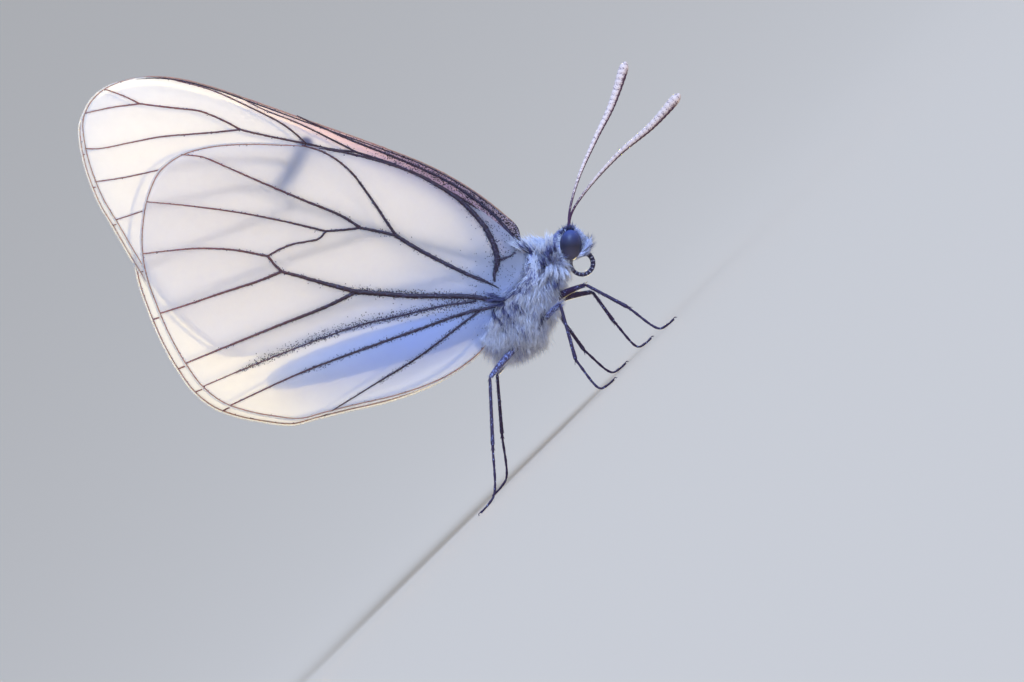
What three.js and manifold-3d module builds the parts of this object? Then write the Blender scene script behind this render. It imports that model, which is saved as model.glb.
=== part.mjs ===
// A black-veined white butterfly, Aporia crataegi, at life size, at rest with its wings closed over its
// back. Millimetres. +X runs towards the head, +Y towards the insect's left and +Z up from the floor. While
// the pieces are built, x = y = z = 0 lies on the floor under the middle feet. The finished group is then
// moved so that its origin is the middle of the foot of its own box.
import * as THREE from "three";
import { mergeVertices } from "three/addons/utils/BufferGeometryUtils.js";
import Module from "manifold-3d";

// Sizes that several pieces share.
const GAP = 0.3; // clear space between a piece and the one that it grows from
const MEMBRANE = 0.5; // thickness of a wing between its veins
const RIDGE = 0.25; // how far the strongest veins stand out of the outer face
const WING_REST = { forewing: 0.45, hindwing: 1.5 }; // middle of each wing off the body's mid plane
const WING_SPREAD = 1.05; // how much further out the wings lie over their hinges
const SPREAD_REACH = 8; // distance over which that fades
const HINGE = new THREE.Vector2(1.0, 10.4); // x and z of the middle of the wing hinges
const LEFT_SLIDE = { forewing: [-0.5, 0], hindwing: [-0.8, 0.2] }; // x and z the left wings rest apart by
const VEIN_STEP = 2.2; // spacing of the points along a vein
const MARGIN_STEP = 1.6; // and along a margin
const HEAD_AT = new THREE.Vector3(5.35, 0, 9.11);
const HEAD_DROOP = THREE.MathUtils.degToRad(45); // the face looks forward and down by this much

const finish = {
  wing: { color: 0xf1eef0, roughness: 0.55, metalness: 0 },
  coat: { color: 0x9fa3bb, roughness: 0.9, metalness: 0 },
  leg: { color: 0x2b2530, roughness: 0.5, metalness: 0 },
  eye: { color: 0x3a4468, roughness: 0.15, metalness: 0 },
  antenna: { color: 0x6b5f66, roughness: 0.6, metalness: 0 },
};

const wasm = await Module();
wasm.setup();

// A closed three.js geometry as a solid that can be joined and cut.
function solidOf(geometry) {
  const bare = geometry.index ? geometry.toNonIndexed() : geometry.clone();
  for (const name of ["normal", "uv"]) bare.deleteAttribute(name);
  const merged = mergeVertices(bare, 1e-4);
  const corners = merged.index.array;
  const kept = [];
  for (let i = 0; i < corners.length; i += 3) {
    const [a, b, c] = corners.slice(i, i + 3);
    if (a !== b && b !== c && c !== a) kept.push(a, b, c);
  }
  return new wasm.Manifold(
    new wasm.Mesh({
      numProp: 3,
      vertProperties: new Float32Array(merged.attributes.position.array),
      triVerts: new Uint32Array(kept),
    }),
  );
}

// The largest closed surface of a solid, as a three.js geometry.
function geometryOf(solid) {
  const [largest] = solid.decompose().sort((a, b) => b.volume() - a.volume());
  const mesh = largest.getMesh();
  const geometry = new THREE.BufferGeometry();
  geometry.setAttribute("position", new THREE.BufferAttribute(mesh.vertProperties, mesh.numProp));
  geometry.setIndex(new THREE.BufferAttribute(mesh.triVerts, 1));
  geometry.computeVertexNormals();
  return geometry;
}

const without = (solid, tools) => tools.reduce((left, tool) => left.subtract(solidOf(tool)), solid);
const cut = (geometry, ...tools) => geometryOf(without(solidOf(geometry), tools));

// A smooth curve through points given as [x, y, z].
function through(...points) {
  const places = points.map((p) => new THREE.Vector3(...p));
  return new THREE.CatmullRomCurve3(places, false, "centripetal");
}

// The same profile with its stretches divided, for a limb that bends between its entries.
function divided(profile, step) {
  return profile.flatMap(([share, radius], i) => {
    const [nextShare, nextRadius] = profile[i + 1] ?? [share, radius];
    const parts = Math.max(1, Math.round((nextShare - share) / step));
    return Array.from({ length: parts }, (_, k) => [
      THREE.MathUtils.lerp(share, nextShare, k / parts),
      THREE.MathUtils.lerp(radius, nextRadius, k / parts),
    ]);
  });
}

// A round body along a curve. Each entry of the profile is [share of the curve's length, half width].
// tall stretches the section away from the side axis, and grow adds a clear space all round.
function limb(curve, profile, { sides = 8, tall = 1, grow = 0 } = {}) {
  const past = grow / curve.getLength();
  const outline = profile.map(([share, radius]) => {
    const along = share <= 0 ? share - past : share >= 1 ? share + past : share;
    return new THREE.Vector2(radius === 0 ? 0 : radius + grow, along);
  });
  const lathe = new THREE.LatheGeometry(outline, sides);
  const place = lathe.attributes.position;
  const length = curve.getLength();
  for (let i = 0; i < place.count; i++) {
    const share = place.getY(i);
    const inside = THREE.MathUtils.clamp(share, 0, 1);
    const tangent = curve.getTangentAt(inside);
    const side = new THREE.Vector3(0, 1, 0).addScaledVector(tangent, -tangent.y).normalize();
    const up = new THREE.Vector3().crossVectors(tangent, side);
    const point = curve.getPointAt(inside).addScaledVector(tangent, (share - inside) * length);
    point.addScaledVector(up, place.getX(i) * tall).addScaledVector(side, place.getZ(i));
    place.setXYZ(i, point.x, point.y, point.z);
  }
  return lathe;
}

// An ellipsoid at a point, with its three half sizes.
function ellipsoid([x, y, z], [a, b, c], around, along) {
  return new THREE.SphereGeometry(1, around, along).scale(a, b, c).translate(x, y, z);
}

function named(name, geometry, look) {
  const mesh = new THREE.Mesh(geometry, new THREE.MeshStandardMaterial(look));
  mesh.name = name;
  return mesh;
}

// ---- Thorax, its coat, and abdomen ----

const thoraxLine = through([-3.35, 0, 9.55], [-1.4, 0, 8.45], [2.0, 0, 9.1], [4.6, 0, 9.8]);
const thoraxProfile = [
  [0, 0],
  [0, 1.25],
  [0.12, 1.8],
  [0.3, 2.15],
  [0.5, 2.2],
  [0.68, 1.95],
  [0.84, 1.5],
  [0.95, 1.1],
  [1, 0.6],
  [1, 0],
];
const THORAX_TALL = 1.17;
const thoraxShape = (grow) => limb(thoraxLine, thoraxProfile, { sides: 20, tall: THORAX_TALL, grow });

// A flat, tapered lock of hair. It is rooted inside the body, points along lie and bends back towards the
// body, and out is the way its broad face looks. Each entry of the profile is [half width, share of length].
const lockProfile = [
  [0, -0.45],
  [0.85, -0.35],
  [1, 0.15],
  [0.8, 0.55],
  [0, 1],
];
const LOCK_WIDTH = 0.8;
const LOCK_THICKNESS = 0.45; // of its width
const LOCK_BEND = 0.22; // of its length, at the tip

function lock(root, lie, out, length, width) {
  const across = new THREE.Vector3().crossVectors(lie, out).normalize();
  const face = new THREE.Vector3().crossVectors(across, lie);
  const shape = new THREE.LatheGeometry(lockProfile.map(([x, y]) => new THREE.Vector2(x, y)), 5);
  const place = shape.attributes.position;
  for (let i = 0; i < place.count; i++) {
    const along = place.getY(i);
    const bend = along > 0 ? LOCK_BEND * length * along ** 2 : 0;
    const point = root.clone().addScaledVector(lie, along * length);
    point.addScaledVector(across, (place.getX(i) * width) / 2);
    point.addScaledVector(face, (place.getZ(i) * width * LOCK_THICKNESS) / 2 - bend);
    place.setXYZ(i, point.x, point.y, point.z);
  }
  return shape;
}

// The thorax's coat: rows of locks round its belly and flanks that lie back and hang down, and a collar of
// short upright ones behind the head. share is a row's place along the thorax, and from and to are angles
// round it, from straight down. rise turns the lie away from the body and hang turns it to the ground.
const coatRows = [
  { share: 0.1, from: -62, to: 62, count: 6, length: 1.5, rise: 0.3, hang: 0.15 },
  { share: 0.25, from: -68, to: 68, count: 7, length: 1.8, rise: 0.32, hang: 0.25 },
  { share: 0.41, from: -72, to: 72, count: 8, length: 1.8, rise: 0.32, hang: 0.3 },
  { share: 0.57, from: -82, to: 82, count: 9, length: 1.8, rise: 0.32, hang: 0.3 },
  { share: 0.73, from: -95, to: 95, count: 9, length: 1.6, rise: 0.34, hang: 0.25 },
  { share: 0.87, from: -110, to: 110, count: 9, length: 1.3, rise: 0.4, hang: 0.15 },
  { share: 0.82, from: 158, to: 202, count: 3, length: 0.95, rise: 0.75, hang: -0.3 },
  { share: 0.91, from: 135, to: 225, count: 4, length: 0.9, rise: 0.85, hang: -0.35 },
];

function seeded(seed) {
  let state = seed;
  return () => {
    state = (state * 1103515245 + 12345) % 2147483648;
    return state / 2147483648;
  };
}

function thoraxHalfWidth(share) {
  const above = thoraxProfile.findIndex(([at]) => at > share);
  const [low, before] = thoraxProfile[above - 1];
  const [high, after] = thoraxProfile[above];
  return THREE.MathUtils.mapLinear(share, low, high, before, after);
}

function thoraxCoat() {
  const random = seeded(1);
  const locks = [];
  for (const row of coatRows) {
    for (let i = 0; i < row.count; i++) {
      const share = row.share + 0.03 * (random() - 0.5);
      const round = (i + 0.3 * (random() - 0.5)) / (row.count - 1);
      const angle = THREE.MathUtils.degToRad(THREE.MathUtils.lerp(row.from, row.to, round));
      const tangent = thoraxLine.getTangentAt(share);
      const side = new THREE.Vector3(0, 1, 0);
      const down = new THREE.Vector3().crossVectors(side, tangent);
      const half = thoraxHalfWidth(share);
      const offset = down.clone().multiplyScalar(Math.cos(angle) * half * THORAX_TALL);
      offset.addScaledVector(side, Math.sin(angle) * half);
      const out = down.clone().multiplyScalar(Math.cos(angle) / THORAX_TALL);
      out.addScaledVector(side, Math.sin(angle)).normalize();
      const lie = tangent.clone().multiplyScalar(-1).addScaledVector(out, row.rise);
      lie.z -= row.hang;
      lie.normalize();
      const root = thoraxLine.getPointAt(share).add(offset).addScaledVector(out, -0.12);
      const length = row.length * (0.85 + 0.3 * random());
      const width = LOCK_WIDTH * (0.85 + 0.3 * random());
      locks.push(solidOf(lock(root, lie, out, length, width)));
    }
  }
  return locks;
}

const abdomenRoot = new THREE.Vector2(-3.55, 9.82);
const abdomenTip = new THREE.Vector2(-16.8, 17.1);
const abdomenProfile = [
  [0, 0],
  [0, 0.95],
  [0.08, 1.2],
  [0.25, 1.3],
  [0.5, 1.3],
  [0.72, 1.15],
  [0.88, 0.9],
  [0.96, 0.65],
  [1, 0.3],
  [1, 0],
];

function abdomen() {
  const middle = abdomenRoot.clone().lerp(abdomenTip, 0.5);
  const line = through(
    [abdomenRoot.x, 0, abdomenRoot.y],
    [middle.x, 0, middle.y + 0.1],
    [abdomenTip.x, 0, abdomenTip.y],
  );
  return limb(line, abdomenProfile, { sides: 16 });
}

// ---- Head, built with its own front along +X and its crown along +Z ----

const HEAD_HALF = [1.15, 1.0, 1.1];
const HEAD_MIDDLE = [0, 0, 0.2];
const EYE_HALF = [0.75, 0.75, 1.08];
const EYE_MIDDLE = { front: 0.18, out: 0.6, up: 0.07 };
const EYE_FLAT = 0.7; // the eye's flat inner face lies this far from the mid plane

const grown = (sizes, by) => sizes.map((size) => size + by);

function eyeShape(side, grow = 0) {
  const middle = [EYE_MIDDLE.front, side * EYE_MIDDLE.out, EYE_MIDDLE.up];
  const ball = ellipsoid(middle, grown(EYE_HALF, grow), 20, 14);
  const inner = EYE_FLAT - grow;
  const block = new THREE.BoxGeometry(8, 4, 8).translate(0, side * (inner - 2), 0);
  return cut(ball, block);
}

const headShape = (grow = 0) => ellipsoid(HEAD_MIDDLE, grown(HEAD_HALF, grow), 18, 14);

const COIL = { front: 1.0, up: -1.25, radius: 0.8, from: 110, to: -200, half: 0.25 };

function coilShape(grow = 0) {
  const points = [];
  for (let degrees = COIL.from; degrees >= COIL.to; degrees -= 31) {
    const turn = THREE.MathUtils.degToRad(degrees);
    points.push([COIL.front + COIL.radius * Math.cos(turn), 0, COIL.up + COIL.radius * Math.sin(turn)]);
  }
  const profile = [
    [0, 0],
    [0, COIL.half],
    [1, 0.88 * COIL.half],
    [1, 0],
  ];
  return limb(through(...points), divided(profile, 0.06), { sides: 8, grow });
}

function palpShape(side) {
  const line = through([0.6, side * 0.66, -0.85], [1.35, side * 0.64, -0.35], [1.75, side * 0.55, 0.7]);
  const profile = [
    [0, 0],
    [0, 0.25],
    [0.3, 0.35],
    [0.6, 0.34],
    [0.85, 0.22],
    [1, 0],
  ];
  return limb(line, divided(profile, 0.15), { sides: 10 });
}

// The feelers spread sideways as they rise, and the left one stands steeper.
const antennaLines = {
  right: through(
    [0.05, -0.34, 1.0],
    [0.2, -0.55, 2.2],
    [1.08, -1.1, 3.7],
    [3.5, -2.1, 6.45],
    [6.0, -3.0, 8.6],
    [7.96, -3.6, 10.8],
  ),
  left: through(
    [0.02, 0.34, 1.0],
    [0.1, 0.55, 2.4],
    [0.75, 1.2, 4.9],
    [2.0, 2.2, 7.8],
    [3.2, 3.1, 10.3],
    [4.25, 3.7, 13.5],
  ),
};
const antennaProfile = [
  [0, 0],
  [0, 0.25],
  [0.55, 0.25],
  [0.75, 0.3],
  [0.9, 0.37],
  [0.95, 0.37],
  [0.985, 0.26],
  [1, 0],
];

// ---- Legs: each is a thigh, a shin and a foot that lies on the floor ----

const FLOOR_LIFT = 0.2; // height of the middle of a foot's sole end, which the floor cuts to a small flat
const legs = {
  front_right: {
    root: [2.0, -0.7, 7.1],
    knee: [4.23, -2.0, 6.26],
    ankle: [5.2, -3.0, 3.0],
    heel: [5.7, -3.6, 0.45],
    toe: [6.9, -4.0, FLOOR_LIFT],
  },
  front_left: {
    root: [2.0, 0.7, 7.0],
    knee: [4.3, 2.1, 5.5],
    ankle: [3.9, 3.1, 2.9],
    heel: [3.85, 3.8, 0.45],
    toe: [5.0, 4.2, FLOOR_LIFT],
  },
  middle_right: {
    root: [-0.3, -0.8, 6.5],
    knee: [1.95, -2.9, 6.57],
    ankle: [-0.1, -4.0, 2.95],
    heel: [-0.3, -4.7, 0.5],
    toe: [0.85, -5.1, FLOOR_LIFT],
  },
  middle_left: {
    root: [-0.3, 0.8, 6.5],
    knee: [1.5, 2.9, 6.6],
    ankle: [0.9, 4.0, 2.9],
    heel: [1.2, 4.7, 0.5],
    toe: [2.4, 5.1, FLOOR_LIFT],
  },
  hind_right: {
    root: [-1.5, -0.9, 6.6],
    knee: [-5.3, -2.9, 6.4],
    ankle: [-8.6, -4.4, 2.8],
    heel: [-10.9, -5.2, 0.5],
    toe: [-12.5, -5.6, FLOOR_LIFT],
  },
  hind_left: {
    root: [-1.5, 0.9, 6.6],
    knee: [-4.8, 2.9, 6.2],
    ankle: [-7.7, 4.3, 2.8],
    heel: [-9.7, 5.1, 0.5],
    toe: [-11.2, 5.5, FLOOR_LIFT],
  },
};
const thighProfile = [
  [0, 0],
  [0, 0.3],
  [0.4, 0.36],
  [0.8, 0.3],
  [0.93, 0.26],
  [1, 0.14],
  [1, 0],
];
const shinProfile = [
  [0, 0],
  [0, 0.26],
  [0.5, 0.25],
  [0.9, 0.27],
  [1, 0.16],
  [1, 0],
];
const footProfile = [
  [0, 0],
  [0, 0.25],
  [0.9, 0.24],
  [1, 0.2],
  [1, 0],
];
const floor = new THREE.BoxGeometry(60, 60, 10).translate(0, 0, -5);

const thighShape = ({ root, knee }, grow = 0) => limb(through(root, knee), thighProfile, { grow });

function legPieces(place, leg) {
  const { knee, ankle, heel, toe } = leg;
  const shinLine = through(knee, ankle);
  const flat = [(heel[0] + toe[0]) / 2, (heel[1] + toe[1]) / 2, FLOOR_LIFT];
  const footLine = through(ankle, heel, flat, toe);
  const thigh = cut(thighShape(leg), thoraxShape(GAP));
  const shin = cut(limb(shinLine, shinProfile), thighShape(leg, GAP));
  const footRound = limb(footLine, divided(footProfile, 0.1));
  const foot = cut(footRound, limb(shinLine, shinProfile, { grow: GAP }), floor);
  return [
    named(`femur_${place}`, thigh, finish.leg),
    named(`tibia_${place}`, shin, finish.leg),
    named(`tarsus_${place}`, foot, finish.leg),
  ];
}

// ---- Wings ----
// A wing is laid out flat as [along, back]: along runs from the hinge to the tip, and back from the leading
// edge to the trailing edge. sweep is the angle of the along axis above +X. Veins that share an end name the
// same joint. The outline runs from the hinge out along the leading edge and home along the trailing edge.

const fore = {
  hinge: [2.09, 10.74],
  sweep: THREE.MathUtils.degToRad(115.9),
  costaEnd: [28.8, -4.1],
  outline: [
    [0.4, -2.0],
    [3.3, -3.3],
    [8, -4.4],
    [14, -4.65],
    [20, -4.7],
    [25.5, -4.65],
    [30.2, -3.65],
    [32.7, -1.7],
    [33.3, 0.6],
    [32.5, 2.5],
    [30.1, 5.5],
    [26.3, 8.8],
    [22.7, 11.4],
    [19.4, 12.9],
    [17, 13.1],
    [11, 9.4],
    [5.5, 5.0],
    [1.0, 0.8],
  ],
  joints: {
    radiusFork: [13.7, -3.6],
    cellTop: [17.3, -3.0],
    stemFork: [22.1, -2.4],
    tipFork: [29.5, -1.8],
    cellUpper: [17.5, -1.3],
    cellMiddle: [18.0, 0.7],
    cellLower: [16.4, 1.4],
    cubitusFork: [8.8, 1.1],
  },
};
fore.veins = [
  ["margin", [0.6, -1.1], [2.9, -1.8], [6.4, -2.95], [10.4, -3.5], "radiusFork"],
  ["radiusFork", [15.5, -3.2], "cellTop"],
  ["cellTop", [19.5, -2.75], "stemFork"],
  ["stemFork", [24.5, -2.65], [27.5, -2.2], "tipFork"],
  ["tipFork", [32.4, -2.0], "margin"],
  ["tipFork", [31.5, -0.8], [33.2, 0.3], "margin"],
  ["stemFork", [25.4, -0.9], [29.3, 1.1], [32.3, 2.7], "margin"],
  ["radiusFork", [17.2, -4.05], [23.6, -4.7], "margin"],
  ["cellTop", [21.0, -4.0], [25.1, -4.3], [28.8, -4.1], "margin"],
  ["cellTop", "cellUpper"],
  ["cellUpper", [21.4, -0.4], [24.6, 1.1], [30.7, 4.6], "margin"],
  ["cellUpper", "cellMiddle"],
  ["cellMiddle", [22.1, 2.2], [25.1, 4.0], [28.6, 6.8], "margin"],
  ["cellMiddle", "cellLower"],
  ["cellLower", [19.8, 4.3], [25.7, 9.3], "margin"],
  ["margin", [0.9, 0.2], [4.5, 1.0], "cubitusFork"],
  ["cubitusFork", [13, 1.25], "cellLower"],
  ["cubitusFork", [12.2, 2.65], [17.5, 6.7], [22.7, 11.4], "margin"],
  ["margin", [1.6, 1.0], [6.5, 4.2], [13.5, 9.1], [18.2, 13.0], "margin"],
];

const hind = {
  hinge: [-0.05, 9.83],
  sweep: THREE.MathUtils.degToRad(129.2),
  costaEnd: [0, -3.7],
  outline: [
    [0.1, 0.9],
    [-0.8, -0.8],
    [-1.0, -2.7],
    [1.0, -4.7],
    [4.4, -6.6],
    [9.0, -8.3],
    [14, -8.95],
    [20.2, -8.8],
    [24.7, -7.4],
    [26.5, -4.8],
    [26.75, -1],
    [25.6, 2.8],
    [23.8, 6.1],
    [21.2, 9.3],
    [18, 10.6],
    [13.9, 10.8],
    [7.2, 8.5],
    [3.2, 6.4],
    [1.0, 4.1],
    [0.45, 2.2],
  ],
  joints: {
    humeralFork: [1.1, -2.0],
    cellTop: [8.4, -3.2],
    cellCorner: [11.0, -3.5],
    cellUpper: [13.4, -3.0],
    cellMiddle: [17.4, -0.8],
    cellLower: [16.3, 0.2],
    cubitusFork: [10.8, 1.1],
    foldFork: [2.3, 0.65],
    analFork: [1.9, 1.55],
  },
};
hind.veins = [
  ["margin", [-0.3, 0.1], "humeralFork"],
  ["humeralFork", [1.6, -3.6], [4.0, -6.1], [8.2, -8.1], "margin"],
  ["humeralFork", [-0.9, -3.1], "margin"],
  ["margin", [0.0, 0.6], [3.0, -0.9], [5.3, -1.8], "cellTop"],
  ["cellTop", "cellCorner"],
  ["cellTop", [10.2, -5.4], [13.2, -8.2], [16.5, -9.0], "margin"],
  ["cellCorner", [15.4, -5.1], [21.1, -6.9], [24.7, -7.4], "margin"],
  ["cellCorner", "cellUpper"],
  ["cellUpper", [17.9, -3.5], [26.7, -3.8], "margin"],
  ["cellUpper", [14.8, -2.1], "cellMiddle"],
  ["cellMiddle", [21.3, -1.0], [26.6, 0.0], "margin"],
  ["cellMiddle", "cellLower"],
  ["cellLower", [20.5, 2.2], [24.8, 4.2], "margin"],
  ["margin", [0.2, 1.1], "foldFork"],
  ["foldFork", [6.9, 1.0], "cubitusFork"],
  ["cubitusFork", [13.0, 0.7], "cellLower"],
  ["cubitusFork", [14.6, 3.3], [22.7, 7.5], "margin"],
  ["foldFork", [7.5, 2.5], [14.4, 5.4], [21.4, 9.2], "margin"],
  ["margin", [0.4, 1.7], "analFork"],
  ["analFork", [6.0, 3.3], [12.8, 6.6], [19.2, 10.2], "margin"],
  ["analFork", [3.7, 3.3], [8.5, 7.2], [12.3, 10.1], "margin"],
];

const flatCurve = (points, closed) =>
  new THREE.CatmullRomCurve3(points.map(([a, b]) => new THREE.Vector3(a, b, 0)), closed, "centripetal");

// The points and cells of a wing's vein network. Each cell is a loop of point numbers, with the vein half
// width at each of its sides.
function veinNetwork(wing) {
  const points = [];
  const rims = [];
  const strength = [];
  const neighbours = [];
  const add = (at, ridge) => {
    points.push(at);
    strength.push(ridge);
    neighbours.push([]);
    return points.length - 1;
  };
  const link = (a, b, half) => {
    neighbours[a].push({ to: b, half });
    neighbours[b].push({ to: a, half });
  };

  const edge = flatCurve(wing.outline, true);
  const fine = edge.getSpacedPoints(600).slice(0, 600);
  const nearest = ([a, b]) => {
    const spans = fine.map((p) => Math.hypot(p.x - a, p.y - b));
    return spans.indexOf(Math.min(...spans));
  };
  const costaEnd = nearest(wing.costaEnd);
  const veinEnds = wing.veins.flatMap((vein) => {
    const ends = [];
    if (vein[0] === "margin") ends.push(nearest(vein[1]));
    if (vein.at(-1) === "margin") ends.push(nearest(vein.at(-2)));
    return ends;
  });
  const stops = [...new Set(veinEnds)].sort((a, b) => a - b);
  const perPoint = edge.getLength() / 600;
  const atStop = new Map();
  stops.forEach((stop, i) => {
    const reach = (stops[(i + 1) % stops.length] - stop + 600) % 600;
    const steps = Math.max(1, Math.round((reach * perPoint) / MARGIN_STEP));
    for (let step = 0; step < steps; step++) {
      const at = Math.round(stop + (reach * step) / steps) % 600;
      const onCosta = at <= costaEnd;
      const index = add([fine[at].x, fine[at].y], onCosta ? 0.6 : 0);
      rims.push({ index, half: onCosta ? 0.3 : 0 });
      if (step === 0) atStop.set(stop, index);
    }
  });
  rims.forEach(({ index, half }, i) => link(index, rims[(i + 1) % rims.length].index, half));

  const jointIndex = new Map();
  const jointOf = (name) => {
    if (!jointIndex.has(name)) jointIndex.set(name, add(wing.joints[name], 0));
    return jointIndex.get(name);
  };
  for (const vein of wing.veins) {
    const fromMargin = vein[0] === "margin";
    const toMargin = vein.at(-1) === "margin";
    const from = fromMargin ? atStop.get(nearest(vein[1])) : jointOf(vein[0]);
    const to = toMargin ? atStop.get(nearest(vein.at(-2))) : jointOf(vein.at(-1));
    const middle = vein.slice(fromMargin ? 2 : 1, toMargin ? -2 : -1);
    const curve = flatCurve([points[from], ...middle, points[to]], false);
    const steps = Math.max(1, Math.round(curve.getLength() / VEIN_STEP));
    let last = from;
    for (let step = 0; step <= steps; step++) {
      const at = curve.getPointAt(step / steps);
      const ridge = 1 - 0.5 * Math.min(1, Math.hypot(at.x, at.y) / 28);
      const index = step === 0 ? from : step === steps ? to : add([at.x, at.y], ridge);
      strength[index] = Math.max(strength[index], ridge);
      if (step > 0) link(last, index, 0.16 + 0.14 * ridge);
      last = index;
    }
  }
  return { points, strength, cells: cellsOf(points, neighbours) };
}

// Each cell is walked by turning as sharply as possible to the same side at every point.
function cellsOf(points, neighbours) {
  const bearing = (a, b) => Math.atan2(points[b][1] - points[a][1], points[b][0] - points[a][0]);
  neighbours.forEach((list, a) => list.sort((p, q) => bearing(a, p.to) - bearing(a, q.to)));
  const walked = new Set();
  const cells = [];
  neighbours.forEach((list, start) => {
    for (const first of list) {
      if (walked.has(`${start}>${first.to}`)) continue;
      const loop = [];
      let here = start;
      let side = first;
      while (!walked.has(`${here}>${side.to}`)) {
        walked.add(`${here}>${side.to}`);
        loop.push({ index: here, half: side.half });
        const next = neighbours[side.to];
        const back = next.findIndex((p) => p.to === here);
        here = side.to;
        side = next[(back - 1 + next.length) % next.length];
      }
      if (area(loop.map(({ index }) => points[index])) > 0) cells.push(loop);
    }
  });
  return cells;
}

function area(loop) {
  return loop.reduce((sum, [x, y], i) => {
    const [u, v] = loop[(i + 1) % loop.length];
    return sum + (x * v - u * y) / 2;
  }, 0);
}

const turnOf = ([ax, ay], [bx, by], [cx, cy]) => (bx - ax) * (cy - ay) - (by - ay) * (cx - ax);

function distanceToSide([x, y], [ax, ay], [bx, by]) {
  const along = ((x - ax) * (bx - ax) + (y - ay) * (by - ay)) / ((bx - ax) ** 2 + (by - ay) ** 2);
  const share = THREE.MathUtils.clamp(along, 0, 1);
  return Math.hypot(x - ax - share * (bx - ax), y - ay - share * (by - ay));
}

// Where the foot of the ridges lies inside corner i of a cell.
function footOfRidge(loop, i) {
  const count = loop.length;
  const [before, here, after] = [loop[(i - 1 + count) % count], loop[i], loop[(i + 1) % count]];
  const unit = (from, to) => {
    const length = Math.hypot(to.at[0] - from.at[0], to.at[1] - from.at[1]);
    return [(to.at[0] - from.at[0]) / length, (to.at[1] - from.at[1]) / length, length];
  };
  const [ex, ey, inLength] = unit(before, here);
  const [fx, fy, outLength] = unit(here, after);
  const cross = ex * fy - ey * fx;
  let move;
  if (Math.abs(cross) > 0.25) {
    move = [(before.half * fx - here.half * ex) / cross, (before.half * fy - here.half * ey) / cross];
  } else {
    const half = Math.min(before.half, here.half);
    const length = Math.hypot(ex + fx, ey + fy);
    move = [(-(ey + fy) * half) / length, ((ex + fx) * half) / length];
  }
  const others = loop.flatMap((corner, j) => {
    const next = (j + 1) % count;
    return j === i || next === i ? [] : [distanceToSide(here.at, corner.at, loop[next].at)];
  });
  const limit = 0.4 * Math.min(inLength, outLength, ...others);
  const size = Math.hypot(...move);
  const scale = size > limit ? limit / size : 1;
  return [here.at[0] + move[0] * scale, here.at[1] + move[1] * scale];
}

// Splits a loop into triangles, always taking off the corner that needs the shortest cut.
function triangulate(loop, points) {
  const left = [...loop];
  const triangles = [];
  while (left.length > 3) {
    let best = -1;
    let shortest = Infinity;
    left.forEach((middle, i) => {
      const before = left[(i - 1 + left.length) % left.length];
      const after = left[(i + 1) % left.length];
      const [a, b, c] = [before, middle, after].map((index) => points[index]);
      const span = Math.hypot(c[0] - a[0], c[1] - a[1]);
      if (turnOf(a, b, c) < 1e-4 || span >= shortest) return;
      const blocked = left.some((index) => {
        if (index === before || index === middle || index === after) return false;
        const p = points[index];
        return turnOf(a, b, p) >= 0 && turnOf(b, c, p) >= 0 && turnOf(c, a, p) >= 0;
      });
      if (!blocked) [best, shortest] = [i, span];
    });
    if (best < 0) throw new Error("a cell of the wing crosses itself");
    const before = left[(best - 1 + left.length) % left.length];
    triangles.push([before, left[best], left[(best + 1) % left.length]]);
    left.splice(best, 1);
  }
  triangles.push(left);
  return triangles;
}

// The middle of a wing, off the body's mid plane, over a point of the body's side view.
function wingDepth(kind, x, z) {
  const spread = WING_SPREAD * Math.exp(-(((x - HINGE.x) ** 2 + (z - HINGE.y) ** 2) / SPREAD_REACH ** 2));
  if (kind === "forewing") return WING_REST.forewing + spread;
  const line = abdomenTip.clone().sub(abdomenRoot);
  const from = new THREE.Vector2(x, z).sub(abdomenRoot);
  const along = from.dot(line) / line.lengthSq();
  const off = Math.abs(from.cross(line)) / line.length();
  const fade = 1 - THREE.MathUtils.smoothstep(along, 0.75, 1.25);
  const wrap = 0.6 * Math.exp(-((off / 1.7) ** 2)) * fade;
  return WING_REST.hindwing + Math.max(spread, 0.35 * spread + wrap);
}

// The points of a wing's faces, how far each stands out of the outer face, and the triangles between them.
function wingSheet(layout) {
  const network = veinNetwork(layout);
  const points = [...network.points];
  const height = network.strength.map((ridge) => ridge * RIDGE);
  const faces = [];
  for (const cell of network.cells) {
    const loop = cell.map((corner) => ({ ...corner, at: network.points[corner.index] }));
    const feet = loop.map((corner, i) => {
      const foot = footOfRidge(loop, i);
      if (Math.hypot(foot[0] - corner.at[0], foot[1] - corner.at[1]) < 1e-6) return corner.index;
      points.push(foot);
      height.push(0);
      return points.length - 1;
    });
    loop.forEach((corner, i) => {
      const next = (i + 1) % loop.length;
      const [a, b, c, d] = [corner.index, loop[next].index, feet[next], feet[i]];
      if (b !== c && (a !== d || corner.half > 0)) faces.push([a, b, c]);
      if (a !== d && (c !== b || corner.half > 0)) faces.push([a, c, d]);
    });
    faces.push(...triangulate(feet, points));
  }
  return { points, height, faces };
}

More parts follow.
